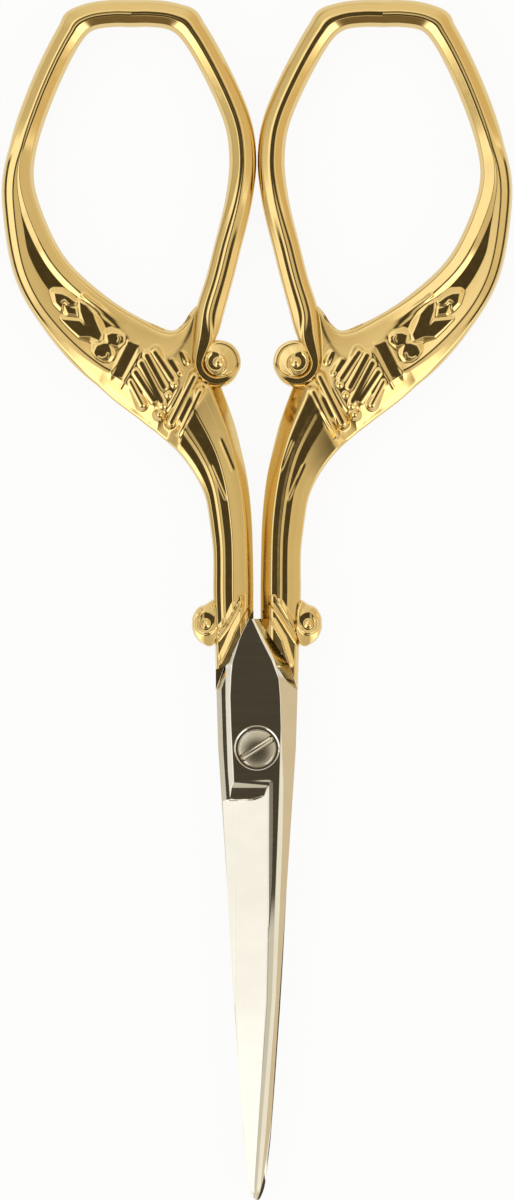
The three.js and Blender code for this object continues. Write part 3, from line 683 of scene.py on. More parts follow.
def limb_rings(handles):
    """Rings of the limb, how deep each point lies, and the row where the bow ends. The upper face ends at
    the V, the lower one at the shoulder. Columns are closer together toward the hole."""
    fine_part, fine_columns, other_columns, bow_end = 0.3, 20, 100, 10.05
    fine = np.linspace(0, fine_part, fine_columns, endpoint=False)
    share = np.concatenate([fine, np.linspace(fine_part, 1, other_columns)])
    top, recess_top, course = limb_face(handles, share, V_SEAM, V_RIDGES, SHANK)
    bottom, recess_bottom, _ = limb_face(handles, share, SHOULDER_SEAM, SHOULDER_RIDGES, SHANK_BACK)
    recess = np.concatenate([recess_top, recess_bottom[:, ::-1]], axis=1)
    return ring_rows(top, bottom), recess, int(np.searchsorted(course, bow_end))


def bow_mesh(limb, name, turned):
    """The outer rail and leaf as rings along the limb, from the top bar to the tied reeds."""
    rings, recess, split = limb
    return tube_mesh(name, rings[:split + 1], turned, recess[:split + 1])


def shank_mesh(limb, name, turned):
    """The reeds, bands and shank as rings along the limb. The step between the V of the upper face and
    the shoulder of the lower one is closed by a last ring that lies level, near the middle plane."""
    rings, recess, split = limb
    step_height = -0.05
    step = rings[-1:] * (1, 1, 0) + (0, 0, step_height)
    # The closing ring in the gap between the blades takes the full painted shade.
    recess = np.concatenate([recess[split:], np.full_like(recess[-1:], DEEPEST)])
    return tube_mesh(name, np.concatenate([rings[split:], step]), turned, recess)


# Scrolls

# Each scroll: its centre, its outline as degrees from straight out and radius, the ridge that winds round its
# ball (first direction, sense of turning, then degrees turned and radius), how much its floor leans outward
# and the depth of a line inside its rim.
VOLUTE = {
    "centre": (3.4, 32.75),
    "outline": ((-180, 2.05), (-150, 2.0), (-120, 1.65), (-90, 1.35), (-45, 1.25), (0, 1.25), (30, 1.35),
                (60, 1.7), (90, 1.95), (135, 2.05), (180, 2.05)),
    "first": 70,
    "sense": -1,
    "winding": ((0, 1.0), (70, 0.95), (160, 0.85), (250, 0.7), (310, 0.62), (360, 1.0)),
    "lean": 0.1,
    "line": 0.05,
}
FOOT_SCROLL = {
    "centre": (4.46, 10.56),
    "outline": ((-180, 1.3), (-135, 1.6), (-103, 2.05), (-87, 1.72), (-60, 1.38), (-34, 1.16), (6, 1.05),
                (52, 1.31), (71, 1.54), (94, 1.66), (104, 2.0), (112, 2.45), (125, 1.9), (150, 1.45),
                (180, 1.3)),
    "first": 100,
    "sense": 1,
    "winding": ((0, 2.0), (25, 1.46), (51, 1.17), (76, 0.96), (103, 0.83), (152, 0.8), (212, 0.68),
                (260, 0.6), (315, 0.66), (340, 1.0), (360, 2.0)),
    "lean": 0.2,
    "line": 0,
}
# Highest that a scroll may stand, by the distance from its outline.
ROUNDED_RIM = ((0, 0.06, 0.15, 0.3, 3), (0.45, 0.8, 1.05, 1.28, 1.9))


def wound(scroll, radius, angle, rim):
    """Height of a scroll's face: a floor that leans a little outward inside the winding ridge, the rounded
    ridge, a slope to the outline outside it and a domed ball in the middle, kept under a rounded rim, less
    a thin line inside the far part of the rim."""
    turned = np.mod(scroll["sense"] * (np.degrees(angle) - scroll["first"]), 360)
    past = radius - np.interp(turned, *np.array(scroll["winding"], float).T)
    starts, ends = (0, 20), (20, 80)
    whole = smooth(turned, *starts) * smooth(360 - turned, *ends)
    out, up = radius * np.cos(angle), radius * np.sin(angle)
    ball_out, ball_up, ball_radius, ball_rise = -0.1, 0.04, 0.42, 0.2
    away = (out - ball_out) ** 2 + (up - ball_up) ** 2
    ball = ball_rise * np.clip(1 - away / ball_radius ** 2, 0, None)
    top, fall, pocket, pocket_radius = 1.32, 0.3, 0.25, 1
    face = top - scroll["lean"] * np.clip(out, 0, None) - fall * np.clip(past, 0, None)
    face = face - pocket * np.clip(radius - pocket_radius, 0, None) * (past < 0)
    rise, reach = 0.13, 0.24
    face = np.minimum(face + rise * whole * wave(past, reach) + ball, np.interp(rim - radius, *ROUNDED_RIM))
    inset, line_reach, far, line_fade = 0.4, 0.13, 2.9, (0, 0.4)
    line = wave(rim - radius - inset, line_reach) * smooth(np.cos(angle - far), *line_fade)
    return face - scroll["line"] * line


def scroll_mesh(scroll, name, turned):
    """A scroll: its height over a polar grid on the upper face that reaches to its outline, mirrored
    underneath."""
    steps, sides, blend = 56, 160, range(-3, 4)
    angle = np.linspace(0, 2 * np.pi, sides, endpoint=False)
    rim = np.interp(np.degrees(angle), *np.array(scroll["outline"], float).T, period=360)
    rim = (sum(np.roll(rim, k) for k in blend) / len(blend))[:, None]
    angle = np.repeat(angle[:, None], steps, axis=1)
    radius = rim * np.sin(np.linspace(0, np.pi / 2, steps))[None, :]
    out = scroll["centre"][0] + radius * np.cos(angle)
    up = scroll["centre"][1] + radius * np.sin(angle)
    top = np.stack([-out, up, wound(scroll, radius, angle, rim)], axis=-1)
    rings = ring_rows(top, top)
    faces = grid_faces(*rings.shape[:2], close_rows=True)
    return closed_mesh(name, to_frame(rings, turned), faces)


# Inner rail

# The band round the volute: parts of its half turn, with its middle's radius and its width there.
BAND_RADIUS = ((0, 0.4, 1), (1.8, 1.62, 1.6))
BAND_WIDTH = ((0, 0.4, 1), (0.25, 0.95, 1.0))
# Points of the bend from the band into the rail, on the side toward the hole and on the other.
BENDS = (((5.38, 35.2), (5.15, 37.4)), ((3.3, 35.2), (2.7, 37.3)))
# Sections that take over from the band's, and the heights over which they do.
RAIL_SPANS = ((RAIL, (33.5, 37)), (TOP_RAIL, (42, 50)))


def rail_edges(handles):
    """Edges of the scroll band and inner rail: a spiral band that opens to the rail's foot, a bend, then
    the hole's edge with the rail's width, up to the middle of the top bar."""
    band_samples, bend_samples, rail_samples = 200, 300, 1200
    part = np.linspace(0, 1, band_samples)
    turn = np.linspace(-0.5, 0, band_samples) * 2 * np.pi
    ray = np.stack([np.cos(turn), np.sin(turn)], axis=1)
    radius, half = np.interp(part, *BAND_RADIUS), 0.5 * np.interp(part, *BAND_WIDTH)
    rails = bow_edges(handles, np.linspace(RAIL_START, len(HOLE_SHAPE), rail_samples))
    on = np.linspace(1, 4, bend_samples)[1:-1]
    lead_in, lead_out = 30, 60
    edges = []
    for reach, bend, rail in zip((radius + half, radius - half), BENDS, rails):
        band = VOLUTE["centre"] + ray * reach[:, None]
        curve = spline(np.vstack([band[[-lead_in, -1]], bend, rail[[0, lead_out]]]), on)
        edges.append(np.vstack([band, curve, rail]))
    return edges


def rail_mesh(handles, name, turned):
    """The scroll band and inner rail: sections carried between the two edges and stretched to the width
    there, from the band's level one over the rail's crested one to the top bar's."""
    spacing, tail_drop, tail_rows, columns = 0.16, 0.2, 12, (56, 40)
    hole, line = rail_edges(handles)
    middle = 0.5 * (hole + line)
    rows = spaced(middle, np.full(len(middle), spacing))
    hole, line, middle = pick(hole, rows), pick(line, rows), pick(middle, rows)
    width = np.linalg.norm(line - hole, axis=1)
    changes = [(stretched(width, section), smooth(middle[:, 1:], *span)) for section, span in RAIL_SPANS]
    knots = blended(stretched(width, SCROLL_BAND), changes)
    tail = 1 - tail_drop * (1 - smooth(np.arange(len(rows)), 0, tail_rows))[:, None]
    faces = []
    for count in columns:
        share = np.linspace(0, 1, count)
        plan = crossed(hole, line, share)
        height = soften(profile(*knots, (1 - share)[None, :] * width[:, None]) * tail)
        faces.append(np.stack([-plan[..., 0], plan[..., 1], height], axis=-1))
    return tube_mesh(name, ring_rows(*faces), turned)


# Blades

# Lines along a blade of the drawn length, as heights above the pivot and places across from the centre line.
DRAWN_LENGTH = 38.4
SPINE = ((-38.4, -36.8, -32.4, 0, 5.0, 5.44, 7.0, 10.64, 11.2),
         (0.52, 0.72, 1.17, 3.3, 3.45, 3.3, 2.76, 0.34, 0.02))
GROUND_EDGE = ((-38.4, -37.5, -35.4, -33.3, -28.2, -22.2, -18, -12.9, -9.5, -6.9, 0),
               (-0.5, -0.62, -0.9, -1.15, -1.53, -1.95, -2.2, -2.47, -2.63, -2.8, -3.1))
FLAT_EDGE = ((-4.1, -1.9, 1.8, 4.4, 6.2), (-2.3, -2.47, -2.6, -2.67, -2.67))
CHAMFER_END = ((-4.4, -1.9, 1.8, 4.4, 6.2, 7.35, 9.2, 10.9, 11.2),
               (-1.9, -2.0, -2.2, -2.28, -2.2, -2.08, -1.5, -0.78, -0.7))
RIDGE = ((-38.4, -35, -29.9, -24.8, -21.4, -14.6, -4.4, 3.3, 5.4, 7.35, 9.2, 11.2),
         (-0.3, -0.08, 0.25, 0.6, 0.85, 0.98, 1.0, 1.0, 0.9, 0.5, -0.2, -0.65))
FLAT_BACK = ((-38.4, -35, -29.9, -21.4, -8.6, -4.4, 1.8, 4.4, 5.9, 7.5, 9.3, 11.0, 11.2),
             (-0.1, 0.15, 0.55, 1.25, 1.7, 1.85, 2.02, 1.95, 1.83, 1.24, 0.32, -0.45, -0.5))
# The back facet's width, as a share of the way from the flat's back to the spine, and the spine's slope.
BACK_FACET = ((-38.4, -21.4, -8.6, -3, 1.4, 6, 8, 11), (0.5, 0.52, 0.42, 0.3, 0.03, 0.03, 0.28, 0.3))
SPINE_SLOPE = ((5.5, 8), (0.78, 1.5))
# Lower border of the plunge, as places across and heights.
PLUNGE_BORDER = ((-2.8, -2.2, -1.3, -0.3, 0.3, 1.0), (-4.3, -4.4, -4.4, -4.3, -4.1, -3.7))
# Shares of the columns at which the lines lie, and columns between them as first share, last share and count.
LINE_SHARES = (0, 0.14, 0.5, 0.6, 0.7, 0.84, 1.0)
FACE_COLUMNS = ((0, 0.14, 14), (0.14, 0.5, 46), (0.5, 1, 76))
TIP_ROUNDING = 1.6


def stations(blades):
    """Heights of the blade's rings from its tip to the shoulder, close together at the plunge."""
    plunge = -size(blades, "plunge")
    below, above, top = 2.2, 0.5, 11.0
    tip_rings, counts = 14, (90, 90, 120)
    tip = TIP_ROUNDING * (1 - np.cos(np.linspace(0, np.pi / 2, tip_rings))) - size(blades, "length")
    ends = (tip[-1], plunge - below, plunge + above, top)
    return np.concatenate([tip, *(np.linspace(*part)[1:] for part in zip(ends[:-1], ends[1:], counts))])


def blade_lines(blades, y, flat):
    """Places across of the lines that run along a blade: the edge, the end of the left chamfer, the ridge
    and its crest, the back of the flat, the back facet and the spine; then the bevel's own edge. flat is
    each ring's share of the flat round the screw."""
    drawn = np.where(y < 0, y * DRAWN_LENGTH / size(blades, "length"), y)
    seam_inset, least_chamfer = 0.03, 0.05
    seam = np.interp(y, V_SEAM[1][::-1], V_SEAM[0][::-1]) - seam_inset
    seam = np.where(y < V_SEAM[1][-2], V_SEAM[0][-1], seam)
    ground_edge, line, back, spine, facet_share = (
        np.interp(drawn, *table) for table in (GROUND_EDGE, RIDGE, FLAT_BACK, SPINE, BACK_FACET))
    edge = mix(ground_edge, np.maximum(np.interp(y, *FLAT_EDGE), -seam), flat)
    chamfer = np.maximum(np.interp(y, *CHAMFER_END), edge + least_chamfer)
    crest_width, crest_gain, crest_span = 0.02, 0.36, (-17, -9)
    crest = np.minimum(line + crest_width + crest_gain * smooth(y, *crest_span), 0.5 * (line + back))
    return (edge, chamfer, line, crest, back, mix(back, spine, facet_share), spine), ground_edge


def ground_face(below, face, border, bevel):
    """Height of the ground part: a nearly level shelf that falls in two slopes from just above the plunge
    down to a curved border, and the straight bevel past it."""
    start, first_slope, second_slope, turn = 0.25, 0.25, 0.1, 0.08
    shelf = face - first_slope * np.clip(below + start, 0, 2 * start)
    shelf = shelf - second_slope * np.clip(below - start, 0, None)
    ground = np.maximum(mix(shelf, bevel, np.clip(border / turn, 0, 1)), bevel)
    return np.where(below > -start, ground, np.inf)


def blade_surface(blades, y, share):
    """Outer face of a blade: straight facets between the lines that run its length. Below the plunge the
    facet from the edge to the ridge is the ground bevel. Returns places across and heights."""
    plunge, inner = -size(blades, "plunge"), size(blades, "gap") / 2
    edge_thickness, steepest_bevel, least_height = (0.36, 0.14), 0.43, 0.1
    crest_slope, lean_slope, facet_slope, chamfer_slope = 0.17, 0.25, 0.42, 0.55
    flat_span, crest_end, lean_span = (-1.35, -1.2), (0.2, 0.5), (-17, -7)
    flat = smooth(y, *np.add(plunge, flat_span))
    lines, ground_edge = blade_lines(blades, y, flat)
    edge, chamfer, line, crest, back, facet, spine = lines
    to_tip = np.clip(-y / size(blades, "length"), 0, 1)
    low = inner + mix(*edge_thickness, to_tip)
    face = inner + mix(size(blades, "thickness"), size(blades, "tip_thickness"), to_tip)
    face = np.where(y < plunge, np.minimum(face, low + steepest_bevel * (line - ground_edge)), face)
    line_z = face - crest_slope * (crest - line) * (1 - smooth(y, *np.add(plunge, crest_end)))
    back_z = face - lean_slope * (1 - smooth(y, *lean_span)) * (back - crest)
    facet_z = back_z - facet_slope * (facet - back)
    spine_z = facet_z - np.interp(y, *SPINE_SLOPE) * (spine - facet)
    edge_z = mix(low, face - chamfer_slope * (chamfer - edge), flat)
    chamfer_z = mix(low + (line_z - low) * (chamfer - edge) / (line - edge), face, flat)
    heights = (edge_z, chamfer_z, line_z, face, back_z, facet_z, spine_z)
    marks = np.repeat([LINE_SHARES], len(y), axis=0)
    columns = np.repeat(share[None], len(y), axis=0)
    x, height = (profile(marks, np.stack(values, axis=1), columns) for values in (lines, heights))
    y, low, face, line, line_z, ground_edge = (v[:, None] for v in (y, low, face, line, line_z, ground_edge))
    bevel = low + (line_z - low) * (x - ground_edge) / (line - ground_edge)
    ground = ground_face(plunge - y, face, np.interp(x, *PLUNGE_BORDER) - y, bevel)
    height = np.where(x < line, np.minimum(height, ground), height)
    return x, np.maximum(height, inner + least_height)


def blade_under(blades, edge_x, spine_x, y):
    """Inner face of a blade from the spine to the edge: a chamfer along the spine that fades at the tip,
    then flat."""
    wide, slope, land_end = 0.42, 0.6, 0.5
    step, least_span, tip_fade = 0.01, 0.05, (1.0, 2.0)
    chamfer_columns, land_columns, flat_columns = 6, 3, 14
    land = np.concatenate([np.linspace(0, wide, chamfer_columns),
                           np.linspace(wide + step, land_end, land_columns)])
    rest = np.linspace(0, 1, flat_columns)[None, 1:]
    span = np.maximum(spine_x - edge_x, least_span)
    share = np.concatenate([land[None, :] / span, rest + (1 - rest) * land_end / span], axis=1)
    x = spine_x - np.clip(share, 0, 1) * span
    height = size(blades, "gap") / 2 + slope * np.clip(x - spine_x + wide, 0, wide) * smooth(span, *tip_fade)
    return np.stack([x, np.repeat(y[:, None], x.shape[1], axis=1), height], axis=-1)


def blade_mesh(blades, screw, name, turned):
    """A blade as rings along its length: outer face, spine side, flat inner face and edge side, with the
    screw's bore cut through it. Its tip narrows as an ellipse does."""
    taper, least = 0.97, 0.02
    y = stations(blades)
    share = np.unique(np.concatenate([np.linspace(*columns) for columns in FACE_COLUMNS]))
    x, height = blade_surface(blades, y, share)
    into_tip = np.clip(TIP_ROUNDING - size(blades, "length") - y, 0, None) / TIP_ROUNDING
    x = x * np.sqrt(np.clip(1 - taper * into_tip ** 2, least, 1))[:, None]
    top = np.stack([x, np.repeat(y[:, None], len(share), axis=1), soften(height)], axis=-1)
    rings = np.concatenate([top, blade_under(blades, x[:, :1], x[:, -1:], y)], axis=1)
    return cut(tube_mesh(name, rings, turned), bore(screw, blades, turned))


# Bores and pivot screw


def lathe(name, steps):
    """Closed mesh of a profile of radius and height turned about the pivot."""
    sides = 96
    radius, height = np.array(steps, float).T
    angle = np.linspace(0, 2 * np.pi, sides, endpoint=False)
    ring = np.stack([np.cos(angle), np.sin(angle)], axis=1)
    heights = np.repeat(height[None, :, None], sides, axis=0)
    points = np.concatenate([ring[:, None, :] * radius[None, :, None], heights], axis=2)
    faces = grid_faces(sides, len(radius), close_rows=True)
    return closed_mesh(name, to_frame(points, False), faces)


def cut(mesh, cutter):
    """The mesh with the cutter's volume taken out of it by an exact boolean."""
    crisp_angle = math.radians(30)
    name = mesh.name
    body = bpy.data.objects.new("cut_body", mesh)
    tool = bpy.data.objects.new("cut_tool", cutter)
    for item in (body, tool):
        bpy.context.scene.collection.objects.link(item)
    step = body.modifiers.new("bore", "BOOLEAN")
    step.operation = "DIFFERENCE"
    step.solver = "EXACT"
    step.object = tool
    ready = body.evaluated_get(bpy.context.evaluated_depsgraph_get())
    bored = bpy.data.meshes.new_from_object(ready)
    for item in (body, tool):
        bpy.data.objects.remove(item)
    for item in (mesh, cutter):
        bpy.data.meshes.remove(item)
    bored.name = name
    bored.set_sharp_from_angle(angle=crisp_angle)
    return bored


def outer_face(blades):
    """Height of a blade's outer face at the pivot."""
    return size(blades, "gap") / 2 + size(blades, "thickness")


def bore(screw, blades, turned):
    """Cutter for a blade's screw hole: counterbore with a chamfered rim and the clearance bore in the
    front blade, a plain threaded bore in the rear one."""
    rear, front, reach = 1.0, 1.15, 3
    seat_depth, inset, wide, deep = 0.85, 0.05, 0.14, 0.08
    outer = outer_face(blades)
    seat = outer - seat_depth
    rim = size(screw, "head") / 2 + size(screw, "clearance") - inset
    steps = [(rear, -reach), (rear, reach)]
    if not turned:
        steps = [(front, -reach), (front, seat), (rim, seat), (rim, outer - deep), (rim + wide, outer),
                 (rim + wide, reach)]
    return lathe("bore_tool", [(0, -reach), *steps, (0, reach)])


def screw_head(screw, blades, name):
    """Slotted head as rings of chords parallel to the slot: a crown that falls with the square of the
    radius to a rounded rim, less a half-round slot, the root of 1 - (distance / half width)^2."""
    rise, fall, thick = 0.08, 0.22, 0.75
    rim_wide, rim_deep = 0.14, 0.06
    slot_depth, slot_lip, slot_wall = 0.32, 0.02, (-0.03, 0.03)
    chord_count, column_count, least = 61, 49, 1e-8
    radius, half_slot, outer = size(screw, "head") / 2, size(screw, "slot") / 2, outer_face(blades)
    chords, columns = (np.sin(np.linspace(-np.pi / 2, np.pi / 2, n)) for n in (chord_count, column_count))
    walls = np.add.outer((-half_slot, half_slot), slot_wall)
    across = np.unique(np.concatenate([chords * radius, walls.ravel()]))
    a = np.repeat(across[:, None], len(columns), axis=1)
    b = columns[None, :] * np.sqrt(np.clip(radius ** 2 - a ** 2, least, None))
    r = np.hypot(a, b)
    crown = outer + rise - fall * (r / radius) ** 2 - rim_deep * smooth(r, radius - rim_wide, radius)
    sunk = slot_depth * np.sqrt(np.clip(1 - (a / (half_slot + slot_lip)) ** 2, 0, None))
    cos, sin = math.cos(screw.slot_angle), math.sin(screw.slot_angle)
    x, y = b * cos - a * sin, b * sin + a * cos
    top = np.stack([x, y, crown - sunk], axis=-1)
    low = np.stack([x, y, np.full_like(x, outer - thick)], axis=-1)[:, ::-1]
    return tube_mesh(name, np.concatenate([top, low], axis=1), False)


def screw_end(blades, name):
    """The screw's shank through both blades, with a chamfered end just inside the rear blade's face."""
    radius, chamfer, recess, below = 0.94, 0.14, 0.06, 0.8
    end, top = recess - outer_face(blades), outer_face(blades) - below
    return lathe(name, [(0, end), (radius - chamfer, end), (radius, end + chamfer), (radius, top), (0, top)])


# Materials


def node(tree, kind, inputs=None, **settings):
    """Adds a shader node with its settings, and sets or joins its inputs, which are values or sockets."""
    made = tree.nodes.new("ShaderNode" + kind)
    for name, value in settings.items():
        setattr(made, name, value)
    for name, value in (inputs or {}).items():
        if isinstance(value, bpy.types.NodeSocket):
            tree.links.new(value, made.inputs[name])
        else:
            made.inputs[name].default_value = value
    return made


def maths(tree, operation, *values):
    """Value socket of a sum, product or other operation on values or sockets."""
    return node(tree, "Math", dict(enumerate(values)), operation=operation).outputs[0]


def stretch(tree, vector, factors):
    """A vector socket scaled by factors."""
    return node(tree, "Mapping", {"Vector": vector, "Scale": factors}).outputs["Vector"]


def noise(tree, vector, scale):
    """Value socket of a noise texture on a vector socket."""
    return node(tree, "TexNoise", {"Vector": vector, "Scale": scale, "Detail": 3.0}).outputs["Fac"]


def remap(tree, value, start, end, **settings):
    """A value socket mapped from one span to another."""
    inputs = {"Value": value, "From Min": start[0], "From Max": start[1], "To Min": end[0], "To Max": end[1]}
    return node(tree, "MapRange", inputs, **settings).outputs["Result"]


def colour_mix(tree, factor, first, second):
    """Blend of two colours or colour sockets by a factor socket."""
    first, second = (c if isinstance(c, bpy.types.NodeSocket) else (*c, 1) for c in (first, second))
    return node(tree, "Mix", {"Factor": factor, 6: first, 7: second}, data_type="RGBA").outputs[2]


def tinted(colour, factor):
    """A colour made paler or darker by a factor."""
    return tuple(min(1, factor * channel) for channel in colour)


def shader(name):
    """New material with its node tree, its Principled shader, and the Object coordinate in millimetres."""
    material = bpy.data.materials.new(name)
    material.use_nodes = True
    tree = material.node_tree
    tree.nodes.clear()
    surface = node(tree, "BsdfPrincipled")
    node(tree, "OutputMaterial", {"Surface": surface.outputs["BSDF"]})
    place = stretch(tree, node(tree, "TexCoord").outputs["Object"], (1 / MM,) * 3)
    return material, tree, surface, place


def metal(tree, surface, colour, dull, roughness, marks, strength):
    """Joins a metal's colour, its roughness over a noise and its fine surface marks to its shader."""
    noise_span, depth = (0.3, 0.7), 0.01 * MM
    bump = node(tree, "Bump", {"Strength": strength, "Distance": depth, "Height": marks})
    tree.links.new(colour, surface.inputs["Base Color"])
    tree.links.new(remap(tree, dull, noise_span, roughness), surface.inputs["Roughness"])
    tree.links.new(bump.outputs["Normal"], surface.inputs["Normal"])
    surface.inputs["Metallic"].default_value = 1


def gold_plating(handles):
    """Bright plating over a casting: tint clouds, painted shade that darkens the recesses, and faint
    polishing marks.
    """
    material, tree, surface, place = shader("gold_plating")
    gold = tuple(handles.gold)
    clouds = colour_mix(tree, noise(tree, place, scale=0.35), gold, tinted(gold, factor=1.06))
    # Painted shade: the recess attribute blends the plating toward the shaded gold in the hollows.
    recess = node(tree, "Attribute", attribute_name="recess").outputs["Fac"]
    colour = colour_mix(tree, recess, clouds, tuple(handles.shade))
    marks = noise(tree, stretch(tree, place, factors=(3, 1, 3)), scale=6)
    dull = noise(tree, place, scale=1.6)
    metal(tree, surface, colour, dull, roughness=(0.1, 0.17), marks=marks, strength=0.06)
    return material


def polished_steel(blades):
    """Polished blade steel: faint grinding lines across the blade and cloudy reflections."""
    material, tree, surface, place = shader("polished_steel")
    steel = tuple(blades.steel)
    clouds = colour_mix(tree, noise(tree, place, scale=0.5), tinted(steel, factor=0.9), steel)
    lines = noise(tree, stretch(tree, place, factors=(0.25, 9, 1)), scale=1.0)
    metal(tree, surface, clouds, lines, roughness=(0.09, 0.15), marks=lines, strength=0.04)
    return material


def turned_steel(screw):
    """Screw steel with rings from turning about the pivot."""
    material, tree, surface, place = shader("turned_steel")
    steel = tuple(screw.steel)
    clouds = colour_mix(tree, noise(tree, place, scale=1.3), tinted(steel, factor=0.8), steel)
    shift = node(tree, "VectorMath", {0: place, 1: tuple(PIVOT)}, operation="SUBTRACT")
    flat = stretch(tree, shift.outputs["Vector"], factors=(1, 1, 0))
    radius = node(tree, "VectorMath", {0: flat}, operation="LENGTH")
    rings = noise(tree, radius.outputs["Value"], scale=9)
    metal(tree, surface, clouds, rings, roughness=(0.16, 0.26), marks=rings, strength=0.05)
    return material


# Stage

# The tent of light, as shares of the way from straight up to straight down and colours. The shares in the
# opening are counted in its half angle.
OPENING = ((0.0, (0.07, 0.058, 0.038)), (0.85, (0.085, 0.07, 0.045)), (1.3, (0.8, 0.74, 0.6)))
BOW_SIDE = ((0.25, (1.15, 1.1, 0.98)), (0.42, (0.9, 0.84, 0.7)), (0.5, (0.8, 0.76, 0.66)))
LEFT_SIDE = ((0.2, (1.42, 1.4, 1.34)), (0.29, (1.42, 1.4, 1.34)), (0.34, (0.75, 0.7, 0.56)),
             (0.5, (0.5, 0.46, 0.38)))
RIGHT_SIDE = ((0.23, (0.82, 0.74, 0.56)), (0.27, (1.3, 1.25, 1.1)), (0.32, (0.85, 0.7, 0.47)),
              (0.5, (0.8, 0.64, 0.4)))
TIP_SIDE = ((0.2, (0.55, 0.48, 0.36)), (0.25, (0.24, 0.19, 0.12)), (0.44, (0.16, 0.12, 0.07)),
            (0.5, (0.3, 0.26, 0.2)))
TIP_CORNER = ((0.22, (1.0, 0.95, 0.85)), (0.24, (2.3, 2.26, 2.12)), (0.37, (2.3, 2.26, 2.12)),
              (0.4, (0.8, 0.74, 0.6)), (0.5, (0.5, 0.45, 0.36)))
# Sides that cover the bow side in turn: their direction to the right and toward the tips, the shares of it
# between which they come in, and their colours.
TENT_SIDES = (
    ((1, 0), (-0.2, -0.8), LEFT_SIDE),
    ((1, 0), (0.2, 0.8), RIGHT_SIDE),
    ((0, 1), (0.75, 0.95), TIP_SIDE),
    ((-0.71, 0.71), (0.92, 0.98), TIP_CORNER),
    ((0.71, 0.71), (0.94, 0.985), TIP_CORNER),
)


def make_floor(stage):
    """White paper under the scissors. It takes their shadow, and the camera and the polished metal see it
    mostly at its own full white."""
    reach, drop = 0.6, 0.02 * MM
    fibre_tint, roughness, sheen = 0.985, 0.9, 0.1
    corners = np.array([(-1, -1), (1, -1), (1, 1), (-1, 1)]) * reach
    points = np.column_stack([corners, np.full(len(corners), CAD_BOX[0][2] - drop)])
    mesh = bpy.data.meshes.new("floor")
    mesh.from_pydata(points.tolist(), [], [(0, 1, 2, 3)])
    floor = bpy.data.objects.new("floor", mesh)
    bpy.context.scene.collection.objects.link(floor)
    material, tree, surface, place = shader("floor_paper")
    paper = tuple(stage.floor)
    fibres = colour_mix(tree, noise(tree, place, scale=0.4), paper, tinted(paper, fibre_tint))
    tree.links.new(fibres, surface.inputs["Base Color"])
    surface.inputs["Roughness"].default_value = roughness
    surface.inputs["Specular IOR Level"].default_value = sheen
    path = node(tree, "LightPath").outputs
    seen = maths(tree, "MAXIMUM", path["Is Camera Ray"], path["Is Glossy Ray"])
    share = maths(tree, "MULTIPLY", seen, stage.white)
    white = node(tree, "Emission", {"Color": (1, 1, 1, 1), "Strength": 1}).outputs["Emission"]
    choose = node(tree, "MixShader", {"Fac": share, 1: surface.outputs["BSDF"], 2: white})
    tree.links.new(choose.outputs["Shader"], tree.nodes["Material Output"].inputs["Surface"])
    mesh.materials.append(material)


def ramp(tree, fac, stops):
    """Colour socket of a ramp of places and colours on a value socket."""
    made = node(tree, "ValToRGB", {"Fac": fac})
    elements = made.color_ramp.elements
    while len(elements) < len(stops):
        elements.new(1.0)
    for element, (position, colour) in zip(elements, stops):
        element.position = position
        element.color = (*colour, 1)
    return made.outputs["Color"]


def make_light(scene, stage):
    """White tent with a dark opening overhead: brightness runs with the angle from straight up, bright and
    then dim on the left, warm on the right, and dark past the tips with a bright corner on either hand. The
    camera sees a plain white background."""
    lean, least_level = math.radians(6), 0.01
    world = bpy.data.worlds.new("tent")
    scene.world = world
    world.use_nodes = True
    tree = world.node_tree
    tree.nodes.clear()
    direction = node(tree, "TexCoord").outputs["Generated"]
    x, y, z = node(tree, "SeparateXYZ", {"Vector": direction}).outputs

    def along(first, first_share, second, second_share):
        """Sum of two sockets, each times its share."""
        parts = [maths(tree, "MULTIPLY", *pair) for pair in ((first, first_share), (second, second_share))]
        return maths(tree, "ADD", *parts)

    axis = along(z, math.cos(lean), y, -math.sin(lean))
    down = maths(tree, "DIVIDE", maths(tree, "ARCCOSINE", axis), math.pi)
    across = maths(tree, "ADD", maths(tree, "POWER", x, 2), maths(tree, "POWER", y, 2))
    level = maths(tree, "MAXIMUM", maths(tree, "SQRT", across), least_level)
    right = maths(tree, "DIVIDE", x, level)
    tips = maths(tree, "DIVIDE", maths(tree, "MULTIPLY", y, -1), level)
    overhead = tuple((place * stage.opening / math.pi, colour) for place, colour in OPENING)
    sides = ramp(tree, down, overhead + BOW_SIDE)
    for (to_right, to_tips), comes_in, colours in TENT_SIDES:
        toward = along(right, to_right, tips, to_tips)
        share = remap(tree, toward, comes_in, (0, 1), interpolation_type="SMOOTHSTEP")
        sides = colour_mix(tree, share, sides, ramp(tree, down, overhead + colours))
    tent_light = node(tree, "Background", {"Color": sides, "Strength": stage.light}).outputs["Background"]
    white = node(tree, "Background", {"Color": (1, 1, 1, 1)}).outputs["Background"]
    seen = node(tree, "LightPath").outputs["Is Camera Ray"]
    choose = node(tree, "MixShader", {"Fac": seen, 1: tent_light, 2: white})
    node(tree, "OutputWorld", {"Surface": choose.outputs["Shader"]})


def make_camera(scene):
    """Long lens straight above, with the frame as tall as the closed scissors."""
    distance, photo_rows, row_size, clip_end = 1.0, 1200, 0.085 * MM, 10
    camera = bpy.data.objects.new("camera", bpy.data.cameras.new("camera"))
    scene.collection.objects.link(camera)
    camera.data.lens = camera.data.sensor_width * distance / (photo_rows * row_size)
    camera.location = (0, 0, distance + PIVOT[2] * MM)
    camera.data.clip_end = clip_end
    scene.camera = camera


# Operators


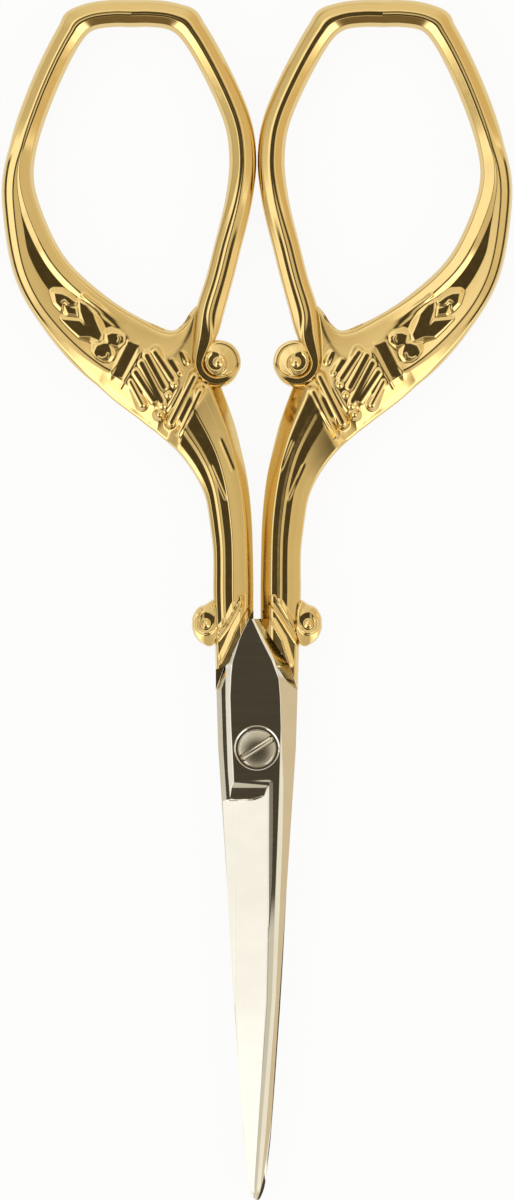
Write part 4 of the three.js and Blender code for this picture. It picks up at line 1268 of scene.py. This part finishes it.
class SCISSORS_OT_handles(bpy.types.Operator):
    """Builds the limb, inner rail and scrolls of both cast handles"""

    bl_idname = "scissors.handles"
    bl_label = "Cast handles"

    def execute(self, context):
        handles = context.scene.scissors_handles
        gold = gold_plating(handles)
        limb = limb_rings(handles)
        for half, (_, turned) in HALVES.items():
            handle = half + "_handle"
            meshes = (
                bow_mesh(limb, handle + "_bow", turned),
                shank_mesh(limb, handle + "_shank", turned),
                rail_mesh(handles, handle + "_rail", turned),
                scroll_mesh(VOLUTE, handle + "_volute", turned),
                scroll_mesh(FOOT_SCROLL, handle + "_foot_scroll", turned),
            )
            for mesh in meshes:
                add_piece(mesh, half, handle, gold)
        return {"FINISHED"}


class SCISSORS_OT_blades(bpy.types.Operator):
    """Builds the two ground blades"""

    bl_idname = "scissors.blades"
    bl_label = "Blades"

    def execute(self, context):
        blades = context.scene.scissors_blades
        screw = context.scene.scissors_screw
        steel = polished_steel(blades)
        for half, (_, turned) in HALVES.items():
            blade = half + "_blade"
            add_piece(blade_mesh(blades, screw, blade + "_ground", turned), half, blade, steel)
        return {"FINISHED"}


class SCISSORS_OT_screw(bpy.types.Operator):
    """Builds the slotted pivot screw"""

    bl_idname = "scissors.screw"
    bl_label = "Pivot screw"

    def execute(self, context):
        screw = context.scene.scissors_screw
        blades = context.scene.scissors_blades
        steel = turned_steel(screw)
        for mesh in (screw_head(screw, blades, "pivot_screw_head"), screw_end(blades, "pivot_screw_end")):
            add_piece(mesh, "rear", "pivot_screw", steel)
        return {"FINISHED"}


class SCISSORS_OT_stage(bpy.types.Operator):
    """Makes the floor, the white tent of light and the camera"""

    bl_idname = "scissors.stage"
    bl_label = "Floor, light and camera"

    def execute(self, context):
        stage = context.scene.scissors_stage
        make_floor(stage)
        make_light(context.scene, stage)
        make_camera(context.scene)
        context.scene.view_settings.view_transform = "Standard"
        return {"FINISHED"}


class SCISSORS_PT_panel(bpy.types.Panel):
    """Lists the pieces and their sizes"""

    bl_idname = "SCISSORS_PT_panel"
    bl_label = "Scissors"
    bl_space_type = "VIEW_3D"
    bl_region_type = "UI"
    bl_category = "Scissors"

    def draw(self, context):
        for group, (_, operator) in GROUPS.items():
            box = self.layout.box()
            box.operator(operator.bl_idname)
            settings = getattr(context.scene, group)
            for name in settings.bl_rna.properties.keys():
                if name not in ("rna_type", "name"):
                    box.prop(settings, name)


# The scene's settings, each with its property group and the operator that builds from it.
GROUPS = {
    "scissors_handles": (ScissorsHandles, SCISSORS_OT_handles),
    "scissors_blades": (ScissorsBlades, SCISSORS_OT_blades),
    "scissors_screw": (ScissorsScrew, SCISSORS_OT_screw),
    "scissors_stage": (ScissorsStage, SCISSORS_OT_stage),
}
CLASSES = (*(item for pair in GROUPS.values() for item in pair), SCISSORS_PT_panel)


def register():
    """Adds the classes and the scene's settings."""
    for item in CLASSES:
        bpy.utils.register_class(item)
    for name, (group, _) in GROUPS.items():
        setattr(bpy.types.Scene, name, PointerProperty(type=group))


def unregister():
    """Takes away what register added."""
    for name in GROUPS:
        delattr(bpy.types.Scene, name)
    for item in reversed(CLASSES):
        bpy.utils.unregister_class(item)


def main():
    """Builds every piece and the stage."""
    register()
    bpy.ops.scissors.handles()
    bpy.ops.scissors.blades()
    bpy.ops.scissors.screw()
    bpy.ops.scissors.stage()


if __name__ == "__main__":
    main()
